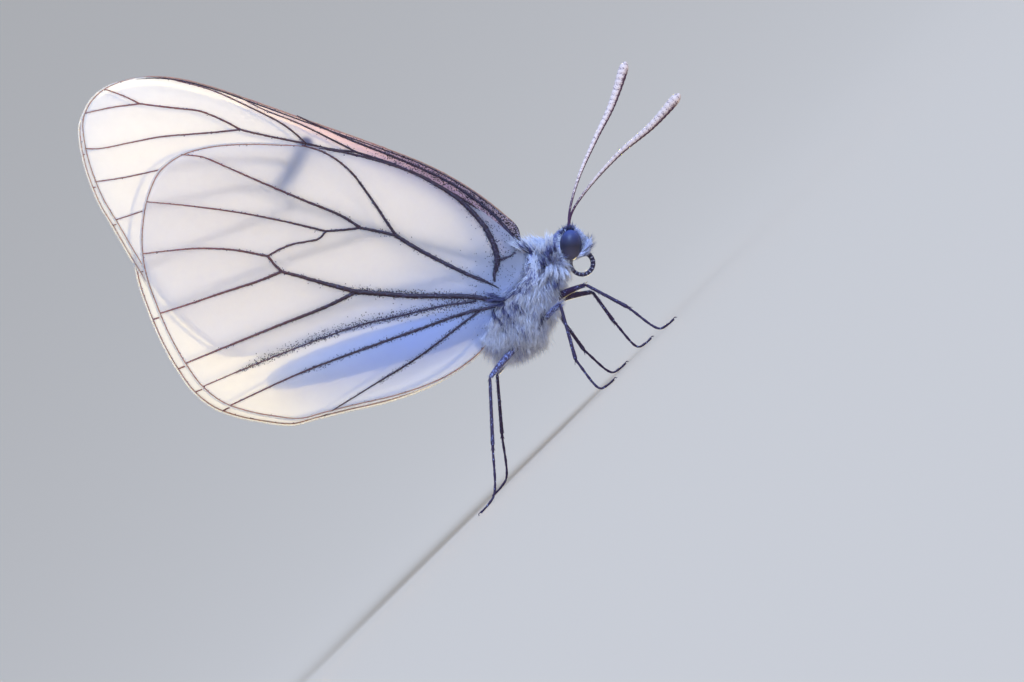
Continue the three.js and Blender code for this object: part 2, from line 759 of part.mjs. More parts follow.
function wing(kind, layout, side) {
  const { points, height, faces } = wingSheet(layout);
  const cos = Math.cos(layout.sweep);
  const sin = Math.sin(layout.sweep);
  const count = points.length;
  const corners = [];
  for (const face of [1, -1]) {
    points.forEach(([along, back], i) => {
      const x = layout.hinge[0] + along * cos - back * sin;
      const z = layout.hinge[1] + along * sin + back * cos;
      const out = face > 0 ? MEMBRANE / 2 + height[i] : -MEMBRANE / 2;
      corners.push([along, side * (wingDepth(kind, x, z) + out), back]);
    });
  }
  const sides = new Set(faces.flatMap(([a, b, c]) => [`${a}>${b}`, `${b}>${c}`, `${c}>${a}`]));
  const triangles = [];
  for (const [a, b, c] of faces) {
    triangles.push([a, b, c]);
    triangles.push([count + a, count + c, count + b]);
  }
  for (const key of sides) {
    const [a, b] = key.split(">").map(Number);
    if (!sides.has(`${b}>${a}`)) triangles.push([b, a, count + a], [b, count + a, count + b]);
  }
  const geometry = new THREE.BufferGeometry();
  const order = side > 0 ? [0, 2, 1] : [0, 1, 2];
  const positions = triangles.flatMap((triangle) => order.flatMap((k) => corners[triangle[k]]));
  geometry.setAttribute("position", new THREE.Float32BufferAttribute(positions, 3));
  const mesh = named(`${kind}_${side > 0 ? "left" : "right"}`, geometry, finish.wing);
  mesh.rotation.y = -layout.sweep;
  const [slideX, slideZ] = side > 0 ? LEFT_SLIDE[kind] : [0, 0];
  mesh.position.set(layout.hinge[0] + slideX, 0, layout.hinge[1] + slideZ);
  mesh.updateMatrixWorld();
  const clear = thoraxShape(GAP).applyMatrix4(mesh.matrixWorld.clone().invert());
  mesh.geometry = cut(geometry, clear);
  return mesh;
}

// ---- The whole insect ----

const insect = new THREE.Group();

const headGroup = new THREE.Group();
headGroup.position.copy(HEAD_AT);
headGroup.rotation.y = HEAD_DROOP;
headGroup.updateMatrixWorld();
headGroup.add(named("head", cut(headShape(), eyeShape(1, GAP), eyeShape(-1, GAP)), finish.coat));
const proboscis = cut(coilShape(), headShape(GAP));
headGroup.add(named("proboscis", proboscis, finish.leg));
for (const [name, side] of [["right", -1], ["left", 1]]) {
  headGroup.add(named(`eye_${name}`, eyeShape(side), finish.eye));
  const palp = cut(palpShape(side), headShape(GAP), eyeShape(side, GAP), coilShape(GAP));
  headGroup.add(named(`palp_${name}`, palp, finish.coat));
  const feelerRound = limb(antennaLines[name], divided(antennaProfile, 0.05));
  const feeler = cut(feelerRound, headShape(GAP), eyeShape(side, GAP));
  headGroup.add(named(`antenna_${name}`, feeler, finish.antenna));
}
insect.add(headGroup);

const headClear = [headShape(GAP), eyeShape(1, GAP), eyeShape(-1, GAP), coilShape(GAP)];
for (const tool of headClear) tool.applyMatrix4(headGroup.matrixWorld);
const thighsClear = Object.values(legs).map((leg) => thighShape(leg, GAP));
const coat = thoraxCoat().map((solid) => without(solid, thighsClear));
const thorax = without(wasm.Manifold.union([solidOf(thoraxShape(0)), ...coat]), headClear);
insect.add(named("thorax", geometryOf(thorax), finish.coat));
insect.add(named("abdomen", geometryOf(solidOf(abdomen())), finish.coat));
for (const [place, leg] of Object.entries(legs)) insect.add(...legPieces(place, leg));
for (const side of [-1, 1]) {
  insect.add(wing("forewing", fore, side));
  insect.add(wing("hindwing", hind, side));
}

// The origin is the middle of the foot of the whole insect's box.
const butterfly = new THREE.Group();
butterfly.add(insect);
const box = new THREE.Box3().setFromObject(insect, true);
insect.position.set(-(box.min.x + box.max.x) / 2, -(box.min.y + box.max.y) / 2, -box.min.z);

export default butterfly;
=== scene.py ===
# A black-veined white butterfly at life size, standing on its feet with the wings closed over its back.
# Metres, +X towards the head, +Y towards the insect's left and +Z up. Sizes are written in millimetres and
# turned into metres where they are used.
import math

import bpy
import numpy as np
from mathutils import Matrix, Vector, kdtree


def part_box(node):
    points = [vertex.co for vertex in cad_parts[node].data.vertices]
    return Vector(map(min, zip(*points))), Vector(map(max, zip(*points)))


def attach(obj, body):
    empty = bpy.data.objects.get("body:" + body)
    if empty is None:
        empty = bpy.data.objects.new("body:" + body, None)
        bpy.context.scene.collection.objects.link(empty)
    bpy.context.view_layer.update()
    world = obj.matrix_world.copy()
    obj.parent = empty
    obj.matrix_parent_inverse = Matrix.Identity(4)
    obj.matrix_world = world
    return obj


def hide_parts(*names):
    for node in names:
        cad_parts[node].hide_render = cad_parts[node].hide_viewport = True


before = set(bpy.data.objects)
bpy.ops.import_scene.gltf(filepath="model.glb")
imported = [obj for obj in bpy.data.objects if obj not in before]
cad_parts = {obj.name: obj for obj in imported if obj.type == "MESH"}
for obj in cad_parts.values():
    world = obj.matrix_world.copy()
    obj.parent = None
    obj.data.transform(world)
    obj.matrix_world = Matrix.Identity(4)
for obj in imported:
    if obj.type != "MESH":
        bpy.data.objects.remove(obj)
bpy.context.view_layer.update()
bpy.ops.object.select_all(action="DESELECT")


# ---- Camera ----
# The insect is seen from its right side, level with the middle of its wings. The camera is rolled so that
# the body, which slopes up towards the head, lies as it would on a flower held aslant.

MM = 0.001
EYES_APART_FROM_ZERO = Vector((5.527, 0.0, 9.032))  # from the floor under the middle feet to between the eyes


def box_middle(*nodes):
    corners = [Vector(corner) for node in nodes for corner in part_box(node)]
    lowest = Vector([min(corner[i] for corner in corners) for i in range(3)])
    highest = Vector([max(corner[i] for corner in corners) for i in range(3)])
    return (lowest + highest) / 2


ZERO = box_middle("eye_right", "eye_left") / MM - EYES_APART_FROM_ZERO
VIEW_DISTANCE = 307.0
VIEW_WIDTH = 73.73  # of the picture, at the insect's mid plane
SENSOR_WIDTH = 36.0
ROLL = math.radians(45)
VIEW_CENTRE = Vector((-2.34, 0.0, 7.13))

camera_data = bpy.data.cameras.new("camera")
camera_data.sensor_width = SENSOR_WIDTH
camera_data.lens = SENSOR_WIDTH * VIEW_DISTANCE / VIEW_WIDTH
camera_data.clip_start = 0.01
camera_data.clip_end = 20
camera = bpy.data.objects.new("camera", camera_data)
bpy.context.collection.objects.link(camera)
camera.location = (ZERO + VIEW_CENTRE - Vector((0, VIEW_DISTANCE, 0))) * MM
camera.rotation_euler = (math.radians(90), ROLL, 0)
bpy.context.scene.camera = camera


# ---- Floor and light ----
# A pale matt sheet runs flat under the insect and rises slowly far away, so that it has no edge in any view.
# The light is a pale room, a large soft lamp in front and two low warm ones behind. The far wings let all of
# the second one's light through, so that the body and the veins throw clear shadows on the near wings.

SHEET_HALF = 5.0  # metres
SHEET_FLAT = 0.2  # metres from the insect to where the sheet starts to rise
SHEET_RISE = 0.055
SHEET_TONE = (0.78, 0.57, 0.37, 1)
ROOM_TONE = (0.43, 0.61, 1.0, 1)
ROOM_LIGHT = 0.93
SUN_TONE = (1.0, 0.79, 0.30)
WINDOW_TONE = (0.37, 0.55, 1.0)


def new_material(name, finish):
    """A material and its nodes. Finish holds the plain numbers on the shader's own sockets."""
    material = bpy.data.materials.new(name)
    material.use_nodes = True
    tree = material.node_tree
    for socket, value in finish.items():
        tree.nodes["Principled BSDF"].inputs[socket].default_value = value
    return material, tree


bpy.ops.mesh.primitive_grid_add(x_subdivisions=80, y_subdivisions=80, size=2 * SHEET_HALF)
floor = bpy.context.object
floor.name = "floor_sheet"
for vertex in floor.data.vertices:
    vertex.co.z = SHEET_RISE * max(0.0, vertex.co.xy.length - SHEET_FLAT) ** 2
bpy.ops.object.shade_smooth()
PALE_SHEET, _ = new_material("pale_sheet", {
    "Base Color": SHEET_TONE, "Roughness": 1.0, "Specular IOR Level": 0.0,
})
floor.data.materials.append(PALE_SHEET)
floor.select_set(False)

world = bpy.data.worlds.new("room")
bpy.context.scene.world = world
world.use_nodes = True
world.node_tree.nodes["Background"].inputs["Color"].default_value = ROOM_TONE
world.node_tree.nodes["Background"].inputs["Strength"].default_value = ROOM_LIGHT


def lamp(name, kind, towards, tone, power):
    """A light that shines on the insect from a place given from its middle, in metres."""
    data = bpy.data.lights.new(name, kind)
    data.color = tone
    data.energy = power
    light = bpy.data.objects.new(name, data)
    bpy.context.collection.objects.link(light)
    light.location = (ZERO + VIEW_CENTRE) * MM + Vector(towards)
    light.rotation_euler = Vector(towards).to_track_quat("Z", "Y").to_euler()
    return light


def leave_out(untouched, piece):
    """Adds a piece to a lamp's list of those that it doesn't light and that don't shade it."""
    untouched.objects.link(piece)
    untouched.collection_objects[-1].light_linking.link_state = "EXCLUDE"


def sun(name, towards, spread, power):
    """A warm lamp behind the insect, and its list of pieces that it leaves out, the floor to begin with."""
    light = lamp(name, "SUN", towards, SUN_TONE, power)
    light.data.angle = math.radians(spread)
    untouched = bpy.data.collections.new(f"not_in_{name}")
    leave_out(untouched, floor)
    light.light_linking.receiver_collection = untouched
    light.light_linking.blocker_collection = untouched
    return untouched


sun("low_sun", (0.1, 1.0, 0.17), 7, 2.0)
far_sheets = sun("clear_sun", (-0.03, 1.0, -0.18), 4, 1.25)
window = lamp("window", "AREA", (1.5, -2.7, 2.7), WINDOW_TONE, 240.0)
window.data.size = 2.4

bpy.context.scene.view_settings.view_transform = "Standard"


# ---- Wings ----
# Two pairs of thin membranes, covered with white scales on both faces, stiffened by hollow veins and edged
# with a fringe of longer scales. The forewings stand between the hindwings. Each membrane is hung from the
# thorax at its hinge and pleats a little between its veins.

# Outlines and veins are pairs in millimetres: along the wing from its hinge, and ahead towards the costa.
# A vein starts with its half widths at the root and at the tip. An edge has its distance in from the margin,
# its half width, its tone and where it starts, as a share of the costa, and ends. Dusk and soot are patches
# along a line: their strength, their half width and the line.

WINGS = {
    "fore": {
        "hinge": (2.09, 10.74),
        "sweep": math.radians(115.9),
        "rest": 0.80,
        "left_slide": (-0.5, 0.0),
        "centre": (16.0, -2.5),
        "russet": 1.0,
        "bluish": 0.08,
        "lobe_reach": 2.2,
        # The costal edge's tone of 1 makes it orange: painted rim light along the costa.
        "edges": [
            (0.03, 0.055, 1.0, 0.04, "costa"), (0.19, 0.05, 0.35, 0.1, "costa"),
            (0.04, 0.04, 0.96, 0.97, "end"),
        ],
        "outline": [
            (0.2, 1.0), (0.9, 2.3), (2.1, 2.85), (3.3, 3.3), (5.1, 3.85), (8.0, 4.4), (11.6, 4.62),
            (14.5, 4.68), (18.0, 4.7), (22.3, 4.72), (25.2, 4.68), (27.7, 4.42), (29.6, 3.9), (31.2, 3.1),
            (32.5, 2.0), (33.15, 0.8), (33.25, -0.6), (32.8, -1.8), (31.7, -3.6), (30.1, -5.5), (28.6, -6.8),
            (26.3, -8.8), (24.2, -10.5), (22.0, -11.85), (20.0, -12.7), (18.2, -13.15), (16.5, -13.0),
            (14.2, -11.8), (11.1, -9.8), (8.2, -7.9), (5.5, -6.0), (3.2, -4.2), (1.5, -2.4), (0.5, -0.9),
            (0.1, 0.1),
        ],
        "costa_until": (30.0, 3.75),
        "veins": [
            (0.125, 0.062, [
                (0.2, 1.2), (1.3, 1.7), (3.2, 2.7), (6.6, 3.7), (10.6, 4.12), (14.5, 4.3), (19.1, 4.7),
            ]),
            (0.15, 0.088, [(0.0, 0.3), (1.1, 0.7), (2.9, 1.7), (6.4, 3.0), (10.4, 3.6), (13.7, 3.6)]),
            (0.088, 0.075, [(13.7, 3.6), (15.5, 3.2), (17.3, 3.0), (18.7, 2.8), (21.0, 2.5), (22.1, 2.4)]),
            (0.075, 0.037, [(13.7, 3.6), (16.0, 3.92), (18.4, 4.2), (21.1, 4.32), (23.6, 4.7)]),
            (0.075, 0.037, [(17.3, 3.0), (18.2, 3.4), (19.5, 3.8), (22.5, 4.2), (25.1, 4.4), (28.8, 4.1)]),
            (0.075, 0.062, [(22.1, 2.4), (23.3, 2.6), (25.3, 2.7), (26.7, 2.4), (28.5, 2.0), (29.5, 1.8)]),
            (0.062, 0.044, [(29.5, 1.8), (31.0, 1.95), (32.6, 1.95)]),
            (0.062, 0.044, [(29.5, 1.8), (31.4, 0.85), (33.25, -0.3)]),
            (0.069, 0.044, [
                (22.1, 2.4), (23.8, 1.6), (25.4, 0.9), (27.4, 0.0), (29.3, -1.1), (31.2, -2.2), (32.4, -2.6),
            ]),
            (0.062, 0.056, [(17.3, 3.0), (17.5, 2.1), (17.5, 1.3)]),
            (0.075, 0.044, [
                (17.5, 1.3), (19.7, 0.9), (22.8, -0.2), (25.9, -1.8), (28.7, -3.5), (30.8, -4.6),
            ]),
            (0.062, 0.062, [(17.5, 1.3), (17.9, 0.3), (18.0, -0.7)]),
            (0.075, 0.044, [
                (18.0, -0.7), (20.7, -1.6), (23.3, -3.1), (25.1, -4.1), (26.9, -5.5), (28.6, -6.8),
            ]),
            (0.062, 0.062, [(18.0, -0.7), (17.3, -1.2), (16.4, -1.4)]),
            (0.075, 0.044, [(16.4, -1.4), (18.6, -3.3), (21.0, -5.2), (23.8, -7.8), (25.6, -9.35)]),
            (0.15, 0.1, [(0.1, -0.1), (1.0, -0.3), (2.0, -0.7), (4.5, -1.0), (8.8, -1.1)]),
            (0.1, 0.075, [(8.8, -1.1), (12.0, -1.15), (14.5, -1.3), (16.4, -1.4)]),
            (0.088, 0.044, [
                (8.8, -1.1), (10.8, -1.7), (12.7, -3.0), (15.9, -5.4), (19.7, -8.6), (22.7, -11.4),
            ]),
            (0.1, 0.044, [(0.2, -0.4), (1.6, -1.3), (5.0, -3.3), (10.1, -6.6), (14.3, -9.8), (18.2, -13.1)]),
        ],
        "dusk": [(1.0, 0.5, [(17.3, 3.0), (17.5, 1.3), (17.9, -0.3)])],
        "soot": [
            (0.5, 0.35, [(0.0, 0.0), (3.5, -0.5), (7.0, -1.1)]),
            (0.6, 0.6, [(0.3, 1.6), (3.3, 3.0), (8.0, 4.0), (11.5, 4.3)]),
        ],
    },
    "hind": {
        "hinge": (-0.05, 9.83),
        "sweep": math.radians(129.2),
        "rest": 1.21,
        "left_slide": (-0.8, 0.2),
        "centre": (13.0, -0.5),
        "russet": 0.0,
        "bluish": 0.0,
        "lobe_reach": 1.1,
        "edges": [(0.06, 0.085, 0.35, 0.42, "costa"), (0.04, 0.045, 0.93, 0.97, "end")],
        "outline": [
            (0.1, -0.9), (-0.35, 0.0), (-0.8, 0.75), (-1.1, 1.6), (-1.0, 2.65), (-0.3, 3.65), (1.0, 4.7),
            (3.3, 6.1), (5.8, 7.2), (8.1, 8.05), (10.6, 8.6), (13.1, 8.92), (16.7, 9.08), (20.2, 8.8),
            (22.8, 8.25), (24.7, 7.4), (26.0, 6.1), (26.6, 4.4), (26.8, 2.6), (26.7, 0.6), (26.2, -1.4),
            (25.3, -3.4), (24.1, -5.6), (22.7, -7.6), (21.3, -9.15), (19.7, -10.15), (18.0, -10.6),
            (16.1, -10.8), (13.9, -10.8), (12.2, -10.2), (9.8, -9.35), (7.2, -8.45), (4.9, -7.4),
            (3.2, -6.35), (1.8, -5.1), (1.0, -4.0), (0.6, -2.9), (0.4, -1.8),
        ],
        "costa_until": (14.0, 9.0),
        "veins": [
            (0.25, 0.085, [
                (1.0, 0.6), (1.1, 1.1), (1.0, 1.6), (0.98, 2.2), (1.2, 2.9), (2.1, 4.4), (4.0, 6.1),
                (6.4, 7.35), (8.9, 8.3),
            ]),
            (0.1, 0.05, [(1.1, 2.1), (0.5, 2.35), (0.1, 2.55), (-0.25, 2.85)]),
            (0.12, 0.15, [(0.7, 0.2), (1.5, 0.5), (3.0, 0.95), (5.3, 1.8), (7.2, 2.6), (8.4, 3.2)]),
            (0.116, 0.105, [(8.4, 3.2), (9.5, 3.35), (11.0, 3.5)]),
            (0.116, 0.053, [(8.4, 3.2), (9.4, 4.4), (11.0, 6.3), (12.3, 7.6), (14.1, 8.6), (16.4, 9.05)]),
            (0.109, 0.045, [
                (11.0, 3.5), (12.4, 4.2), (15.4, 5.1), (18.3, 6.0), (21.1, 6.9), (22.8, 7.4), (24.7, 7.4),
            ]),
            (0.093, 0.083, [(11.0, 3.5), (11.8, 3.3), (13.4, 3.0)]),
            (0.085, 0.045, [(13.4, 3.0), (16.4, 3.4), (19.7, 3.7), (23.2, 3.82), (26.7, 3.8)]),
            (0.078, 0.075, [(13.4, 3.0), (13.9, 2.4), (14.8, 2.1), (15.8, 1.8), (16.7, 1.3), (17.4, 0.8)]),
            (0.093, 0.045, [(17.4, 0.8), (19.8, 1.0), (22.4, 0.85), (24.6, 0.45), (26.6, 0.0)]),
            (0.093, 0.105, [(17.4, 0.8), (16.8, 0.2), (16.3, -0.2)]),
            (0.109, 0.053, [(16.3, -0.2), (17.8, -1.0), (20.5, -2.2), (22.9, -3.3), (25.0, -4.2)]),
            (0.17, 0.18, [(0.1, -0.8), (1.0, -0.75), (2.2, -0.62), (4.7, -0.8), (6.9, -1.0), (10.8, -1.1)]),
            (0.171, 0.112, [(10.8, -1.1), (13.0, -0.75), (14.9, -0.42), (16.3, -0.2)]),
            (0.139, 0.053, [(10.8, -1.1), (12.9, -2.4), (16.0, -4.0), (19.4, -5.8), (22.7, -7.55)]),
            (0.07, 0.045, [
                (2.2, -0.9), (4.6, -1.5), (7.5, -2.5), (10.4, -3.5), (14.4, -5.4), (18.6, -7.6),
                (21.4, -9.15),
            ]),
            (0.12, 0.053, [
                (0.2, -1.0), (2.8, -1.8), (6.0, -3.3), (10.2, -5.3), (14.2, -7.3), (19.3, -10.3),
            ]),
            (0.085, 0.045, [(1.7, -1.4), (3.1, -2.7), (5.8, -5.2), (8.5, -7.3), (12.2, -10.15)]),
        ],
        "dusk": [],
        "soot": [
            (3.4, 0.1, [(2.2, -0.9), (4.6, -1.5), (7.5, -2.5), (10.4, -3.5), (14.4, -5.4), (18.6, -7.6)]),
            (0.6, 0.3, [(3.0, -1.2), (7.5, -2.4), (12.0, -4.0), (17.5, -6.8)]),
            (1.0, 0.2, [(1.0, -0.6), (4.7, -0.75), (10.8, -0.95)]),
            (1.3, 0.12, [(1.0, -1.2), (2.8, -1.8), (6.0, -3.3), (10.2, -5.3), (14.2, -7.3)]),
            (1.2, 0.12, [(1.7, -1.4), (3.1, -2.7), (5.8, -5.2), (8.5, -7.3)]),
            (0.4, 0.2, [(1.1, 1.9), (1.6, 3.6), (4.0, 6.1)]),
            (1.2, 0.07, [(0.9, 2.15), (0.4, 2.4), (-0.1, 2.7), (-0.45, 3.0)]),
            (0.15, 0.4, [(0.0, 2.6), (0.5, 3.6), (2.0, 5.0)]),
        ],
    },
}
SPREAD = 1.05  # how much further out the wings lie over their hinges, as in the thorax's width
SPREAD_REACH = 8.0
HINGES = (1.0, 10.4)
ABDOMEN_LINE = ((-3.55, 9.82), (-16.8, 17.1))
HINGE_LOBE = ((0.6, -0.8), (-0.1, 1.0), (0.1, 2.6), (0.9, 4.2))  # bluish, over the thorax: partly the scales' own tone, partly painted shade of the thorax
LOBE_BLUE_AND_PAINTED_SHADE = 0.38
PAINTED_BODY_SHADE = ((0.5, -1.2), (4.0, -2.9), (9.0, -5.3), (13.0, -7.5))  # bluish painted shade, where the abdomen shades the wing that lies on it
PAINTED_BODY_SHADE_STRENGTH = 0.85
PAINTED_BODY_SHADE_REACH = 3.5
SHEET_THICKNESS = 0.05
BARE_INSET = 0.07  # how far the sheet stays in from the margin where it has no fringe
FRINGE_INSET = 0.24
FRINGE_FROM = 0.15  # the inset from which the margin has a fringe
PLEAT = 0.10
PLEAT_REACH = 1.1
AROUND = 420  # points round a membrane's margin
RINGS = 46


def smooth_line(points, step=None, count=None, closed=False):
    """Evenly spaced points on a smooth curve through the given ones, by their spacing or their number."""
    given = np.array(points, float)
    if closed:
        given = np.vstack([given[-1:], given, given[:2]])
    else:
        given = np.vstack([2 * given[0] - given[1], given, 2 * given[-1] - given[-2]])
    fine = []
    for a, b, c, d in zip(given, given[1:], given[2:], given[3:]):
        t0, t1 = 0.0, np.linalg.norm(b - a) ** 0.5
        t2 = t1 + np.linalg.norm(c - b) ** 0.5
        t3 = t2 + np.linalg.norm(d - c) ** 0.5
        t = np.linspace(t1, t2, 24, endpoint=False)[:, None]
        ab = (t1 - t) / (t1 - t0) * a + (t - t0) / (t1 - t0) * b
        bc = (t2 - t) / (t2 - t1) * b + (t - t1) / (t2 - t1) * c
        cd = (t3 - t) / (t3 - t2) * c + (t - t2) / (t3 - t2) * d
        abc = (t2 - t) / (t2 - t0) * ab + (t - t0) / (t2 - t0) * bc
        bcd = (t3 - t) / (t3 - t1) * bc + (t - t1) / (t3 - t1) * cd
        fine.append((t2 - t) / (t2 - t1) * abc + (t - t1) / (t2 - t1) * bcd)
    fine = np.vstack(fine + [given[-2][None]])
    run = np.concatenate([[0], np.cumsum(np.linalg.norm(np.diff(fine, axis=0), axis=1))])
    count = count or max(2, int(round(run[-1] / step)) + 1)
    at = np.linspace(0, run[-1], count)
    return np.stack([np.interp(at, run, fine[:, i]) for i in range(fine.shape[1])], axis=1)


def distance_to_line(points, line):
    """How far each point is from a polyline, both flat."""
    nearest = np.full(len(points), 1e9)
    for start, end in zip(line, line[1:]):
        span = end - start
        share = np.clip(((points - start) @ span) / (span @ span), 0, 1)
        nearest = np.minimum(nearest, np.linalg.norm(points - start - share[:, None] * span, axis=1))
    return nearest


def wing_depth(kind, x, z):
    """How far the middle of a wing is off the body's mid plane, over the point x, z of the side view."""
    spread = SPREAD * np.exp(-((x - HINGES[0]) ** 2 + (z - HINGES[1]) ** 2) / SPREAD_REACH**2)
    if kind == "fore":
        return WINGS[kind]["rest"] + spread
    root, tip = np.array(ABDOMEN_LINE[0]), np.array(ABDOMEN_LINE[1])
    line = tip - root
    away = np.stack([x, z], axis=-1) - root
    along = away @ line / (line @ line)
    off = np.abs(away[..., 0] * line[1] - away[..., 1] * line[0]) / np.linalg.norm(line)
    eased = np.clip((along - 0.75) / 0.5, 0, 1)
    fade = 1 - eased**2 * (3 - 2 * eased)
    wrap = 0.6 * np.exp(-((off / 1.7) ** 2)) * fade
    return WINGS[kind]["rest"] + np.maximum(spread, 0.35 * spread + wrap)


def wing_place(kind, side, flat, out=0.0):
    """Where points of a flat wing lie on the insect, in metres. Out is their distance off the mid surface."""
    wing = WINGS[kind]
    cos, sin = math.cos(wing["sweep"]), math.sin(wing["sweep"])
    x = wing["hinge"][0] + flat[:, 0] * cos + flat[:, 1] * sin
    z = wing["hinge"][1] + flat[:, 0] * sin - flat[:, 1] * cos
    y = side * (wing_depth(kind, x, z) + out)
    slide = wing["left_slide"] if side > 0 else (0.0, 0.0)
    return (np.stack([x + slide[0], y, z + slide[1]], axis=1) + np.array(ZERO)) * MM


def unit(vectors):
    """Vectors of length 1 along the given ones."""
    return vectors / np.linalg.norm(vectors, axis=-1, keepdims=True)


def new_piece(name, points, faces, material):
    """A smooth mesh from points in metres and faces, with its own material."""
    mesh = bpy.data.meshes.new(name)
    mesh.from_pydata(np.asarray(points).tolist(), [], faces)
    mesh.materials.append(material)
    piece = bpy.data.objects.new(name, mesh)
    bpy.context.collection.objects.link(piece)
    mesh.polygons.foreach_set("use_smooth", [True] * len(mesh.polygons))
    mesh.update()
    return piece


def point_values(piece, name, values):
    """Keeps one number for each point of a piece, for its material to read."""
    attribute = piece.data.attributes.new(name, "FLOAT", "POINT")
    attribute.data.foreach_set("value", np.asarray(values, np.float32))


def turn_outwards(piece):
    bpy.ops.object.select_all(action="DESELECT")
    bpy.context.view_layer.objects.active = piece
    piece.select_set(True)
    bpy.ops.object.mode_set(mode="EDIT")
    bpy.ops.mesh.select_all(action="SELECT")
    bpy.ops.mesh.normals_make_consistent(inside=False)
    bpy.ops.object.mode_set(mode="OBJECT")
    piece.select_set(False)


def add_node(tree, kind, inputs=None, **settings):
    """Adds a node. Each of its inputs is given a plain value or another node's output."""
    node = tree.nodes.new("ShaderNode" + kind)
    for name, value in settings.items():
        setattr(node, name, value)
    for socket, value in (inputs or {}).items():
        if isinstance(value, bpy.types.NodeSocket):
            tree.links.new(value, node.inputs[socket])
        else:
            node.inputs[socket].default_value = value
    return node


def place_on_piece(tree):
    return add_node(tree, "TexCoord").outputs["Object"]


def kept_value(tree, name):
    """The number that point_values kept for the piece under this name."""
    return add_node(tree, "Attribute", attribute_name=name).outputs["Fac"]


def mixed(tree, share, first, second):
    """A colour that goes from the first to the second one by a share."""
    mix = add_node(tree, "Mix", {"Factor": share, "A": first, "B": second}, data_type="RGBA")
    return mix.outputs["Result"]


def colour_ramp(tree, share, tones):
    """A colour that goes through several by a share. Each has its place from 0 to 1."""
    ramp = add_node(tree, "ValToRGB", {"Fac": share})
    ramp.color_ramp.elements[0].color = tones[0][1]
    ramp.color_ramp.elements[1].color = tones[-1][1]
    for place, colour in tones[1:-1]:
        ramp.color_ramp.elements.new(place).color = colour
    return ramp.outputs["Color"]


def paint(tree, colour):
    tree.links.new(colour, tree.nodes["Principled BSDF"].inputs["Base Color"])


def relief(tree, height, strength, depth, invert=False):
    """Fine relief on the surface. Its depth is in metres."""
    bump = add_node(tree, "Bump", {"Strength": strength, "Distance": depth, "Height": height}, invert=invert)
    tree.links.new(bump.outputs["Normal"], tree.nodes["Principled BSDF"].inputs["Normal"])


def let_through(tree, colour, share):
    """Mixes in the light that comes through a thin piece, by a share."""
    through = add_node(tree, "BsdfTranslucent", {"Color": colour})
    surface = tree.nodes["Principled BSDF"].outputs["BSDF"]
    mix = add_node(tree, "MixShader", {"Fac": share, 1: surface, 2: through.outputs["BSDF"]})
    tree.links.new(mix.outputs["Shader"], tree.nodes["Material Output"].inputs["Surface"])


def speckle_group():
    """Single scales of another colour: a mask that is 1 on some cells of a mosaic, the share being density."""
    group = bpy.data.node_groups.new("scale_speckle", "ShaderNodeTree")
    for name, way in (("Density", "INPUT"), ("Cells", "INPUT"), ("Mask", "OUTPUT"), ("Height", "OUTPUT")):
        group.interface.new_socket(name, in_out=way, socket_type="NodeSocketFloat")
    given, result = group.nodes.new("NodeGroupInput"), group.nodes.new("NodeGroupOutput")
    cells = add_node(group, "TexVoronoi", {"Vector": place_on_piece(group), "Scale": given.outputs["Cells"]})
    apart = add_node(group, "SeparateColor", {"Color": cells.outputs["Color"]})
    values = {0: apart.outputs["Red"], 1: given.outputs["Density"]}
    limit = add_node(group, "Math", values, operation="LESS_THAN")
    group.links.new(limit.outputs["Value"], result.inputs["Mask"])
    group.links.new(cells.outputs["Distance"], result.inputs["Height"])
    return group


SPECKLE = speckle_group()
SCALE_RELIEF = 0.00002


def membrane_material():
    """White scales, thin enough to let light through, with dark ones strewn along the veins near the root, and
    a bluish tint that is partly painted shade.
    """
    material, tree = new_material("wing_scales", {"Roughness": 0.55})
    root, russet = kept_value(tree, "root"), kept_value(tree, "russet")
    cloud = add_node(tree, "TexNoise", {
        "Vector": place_on_piece(tree), "Scale": 1800, "Detail": 5, "Roughness": 0.75,
    })
    tone = mixed(tree, cloud.outputs["Fac"], (0.935, 0.915, 0.915, 1), (1.0, 0.99, 0.965, 1))
    # Bluish by the root share: partly the scales' own tone near the hinge, partly painted shade of the thorax
    # and abdomen.
    tone = mixed(tree, root, tone, (0.69, 0.75, 0.94, 1))
    band = colour_ramp(tree, russet, [
        (0, (0.97, 0.90, 0.89, 1)), (0.5, (0.95, 0.81, 0.84, 1)), (0.75, (0.72, 0.59, 0.72, 1)),
        (1, (0.62, 0.60, 0.78, 1)),
    ])
    rosy = add_node(tree, "MapRange", {"Value": russet, "From Max": 0.5})
    tone = mixed(tree, rosy.outputs["Result"], tone, band)
    tone = mixed(tree, kept_value(tree, "dusk"), tone, (0.34, 0.36, 0.52, 1))
    speckle = add_node(tree, "Group", {"Cells": 19000, "Density": kept_value(tree, "soot")}, node_tree=SPECKLE)
    tone = mixed(tree, speckle.outputs["Mask"], tone, (0.035, 0.03, 0.045, 1))
    paint(tree, tone)
    relief(tree, speckle.outputs["Height"], 0.35, SCALE_RELIEF)
    clear = add_node(tree, "Math", {0: root, 1: -0.14, 2: 0.9}, operation="MULTIPLY_ADD")
    let_through(tree, tone, clear.outputs["Value"])
    return material


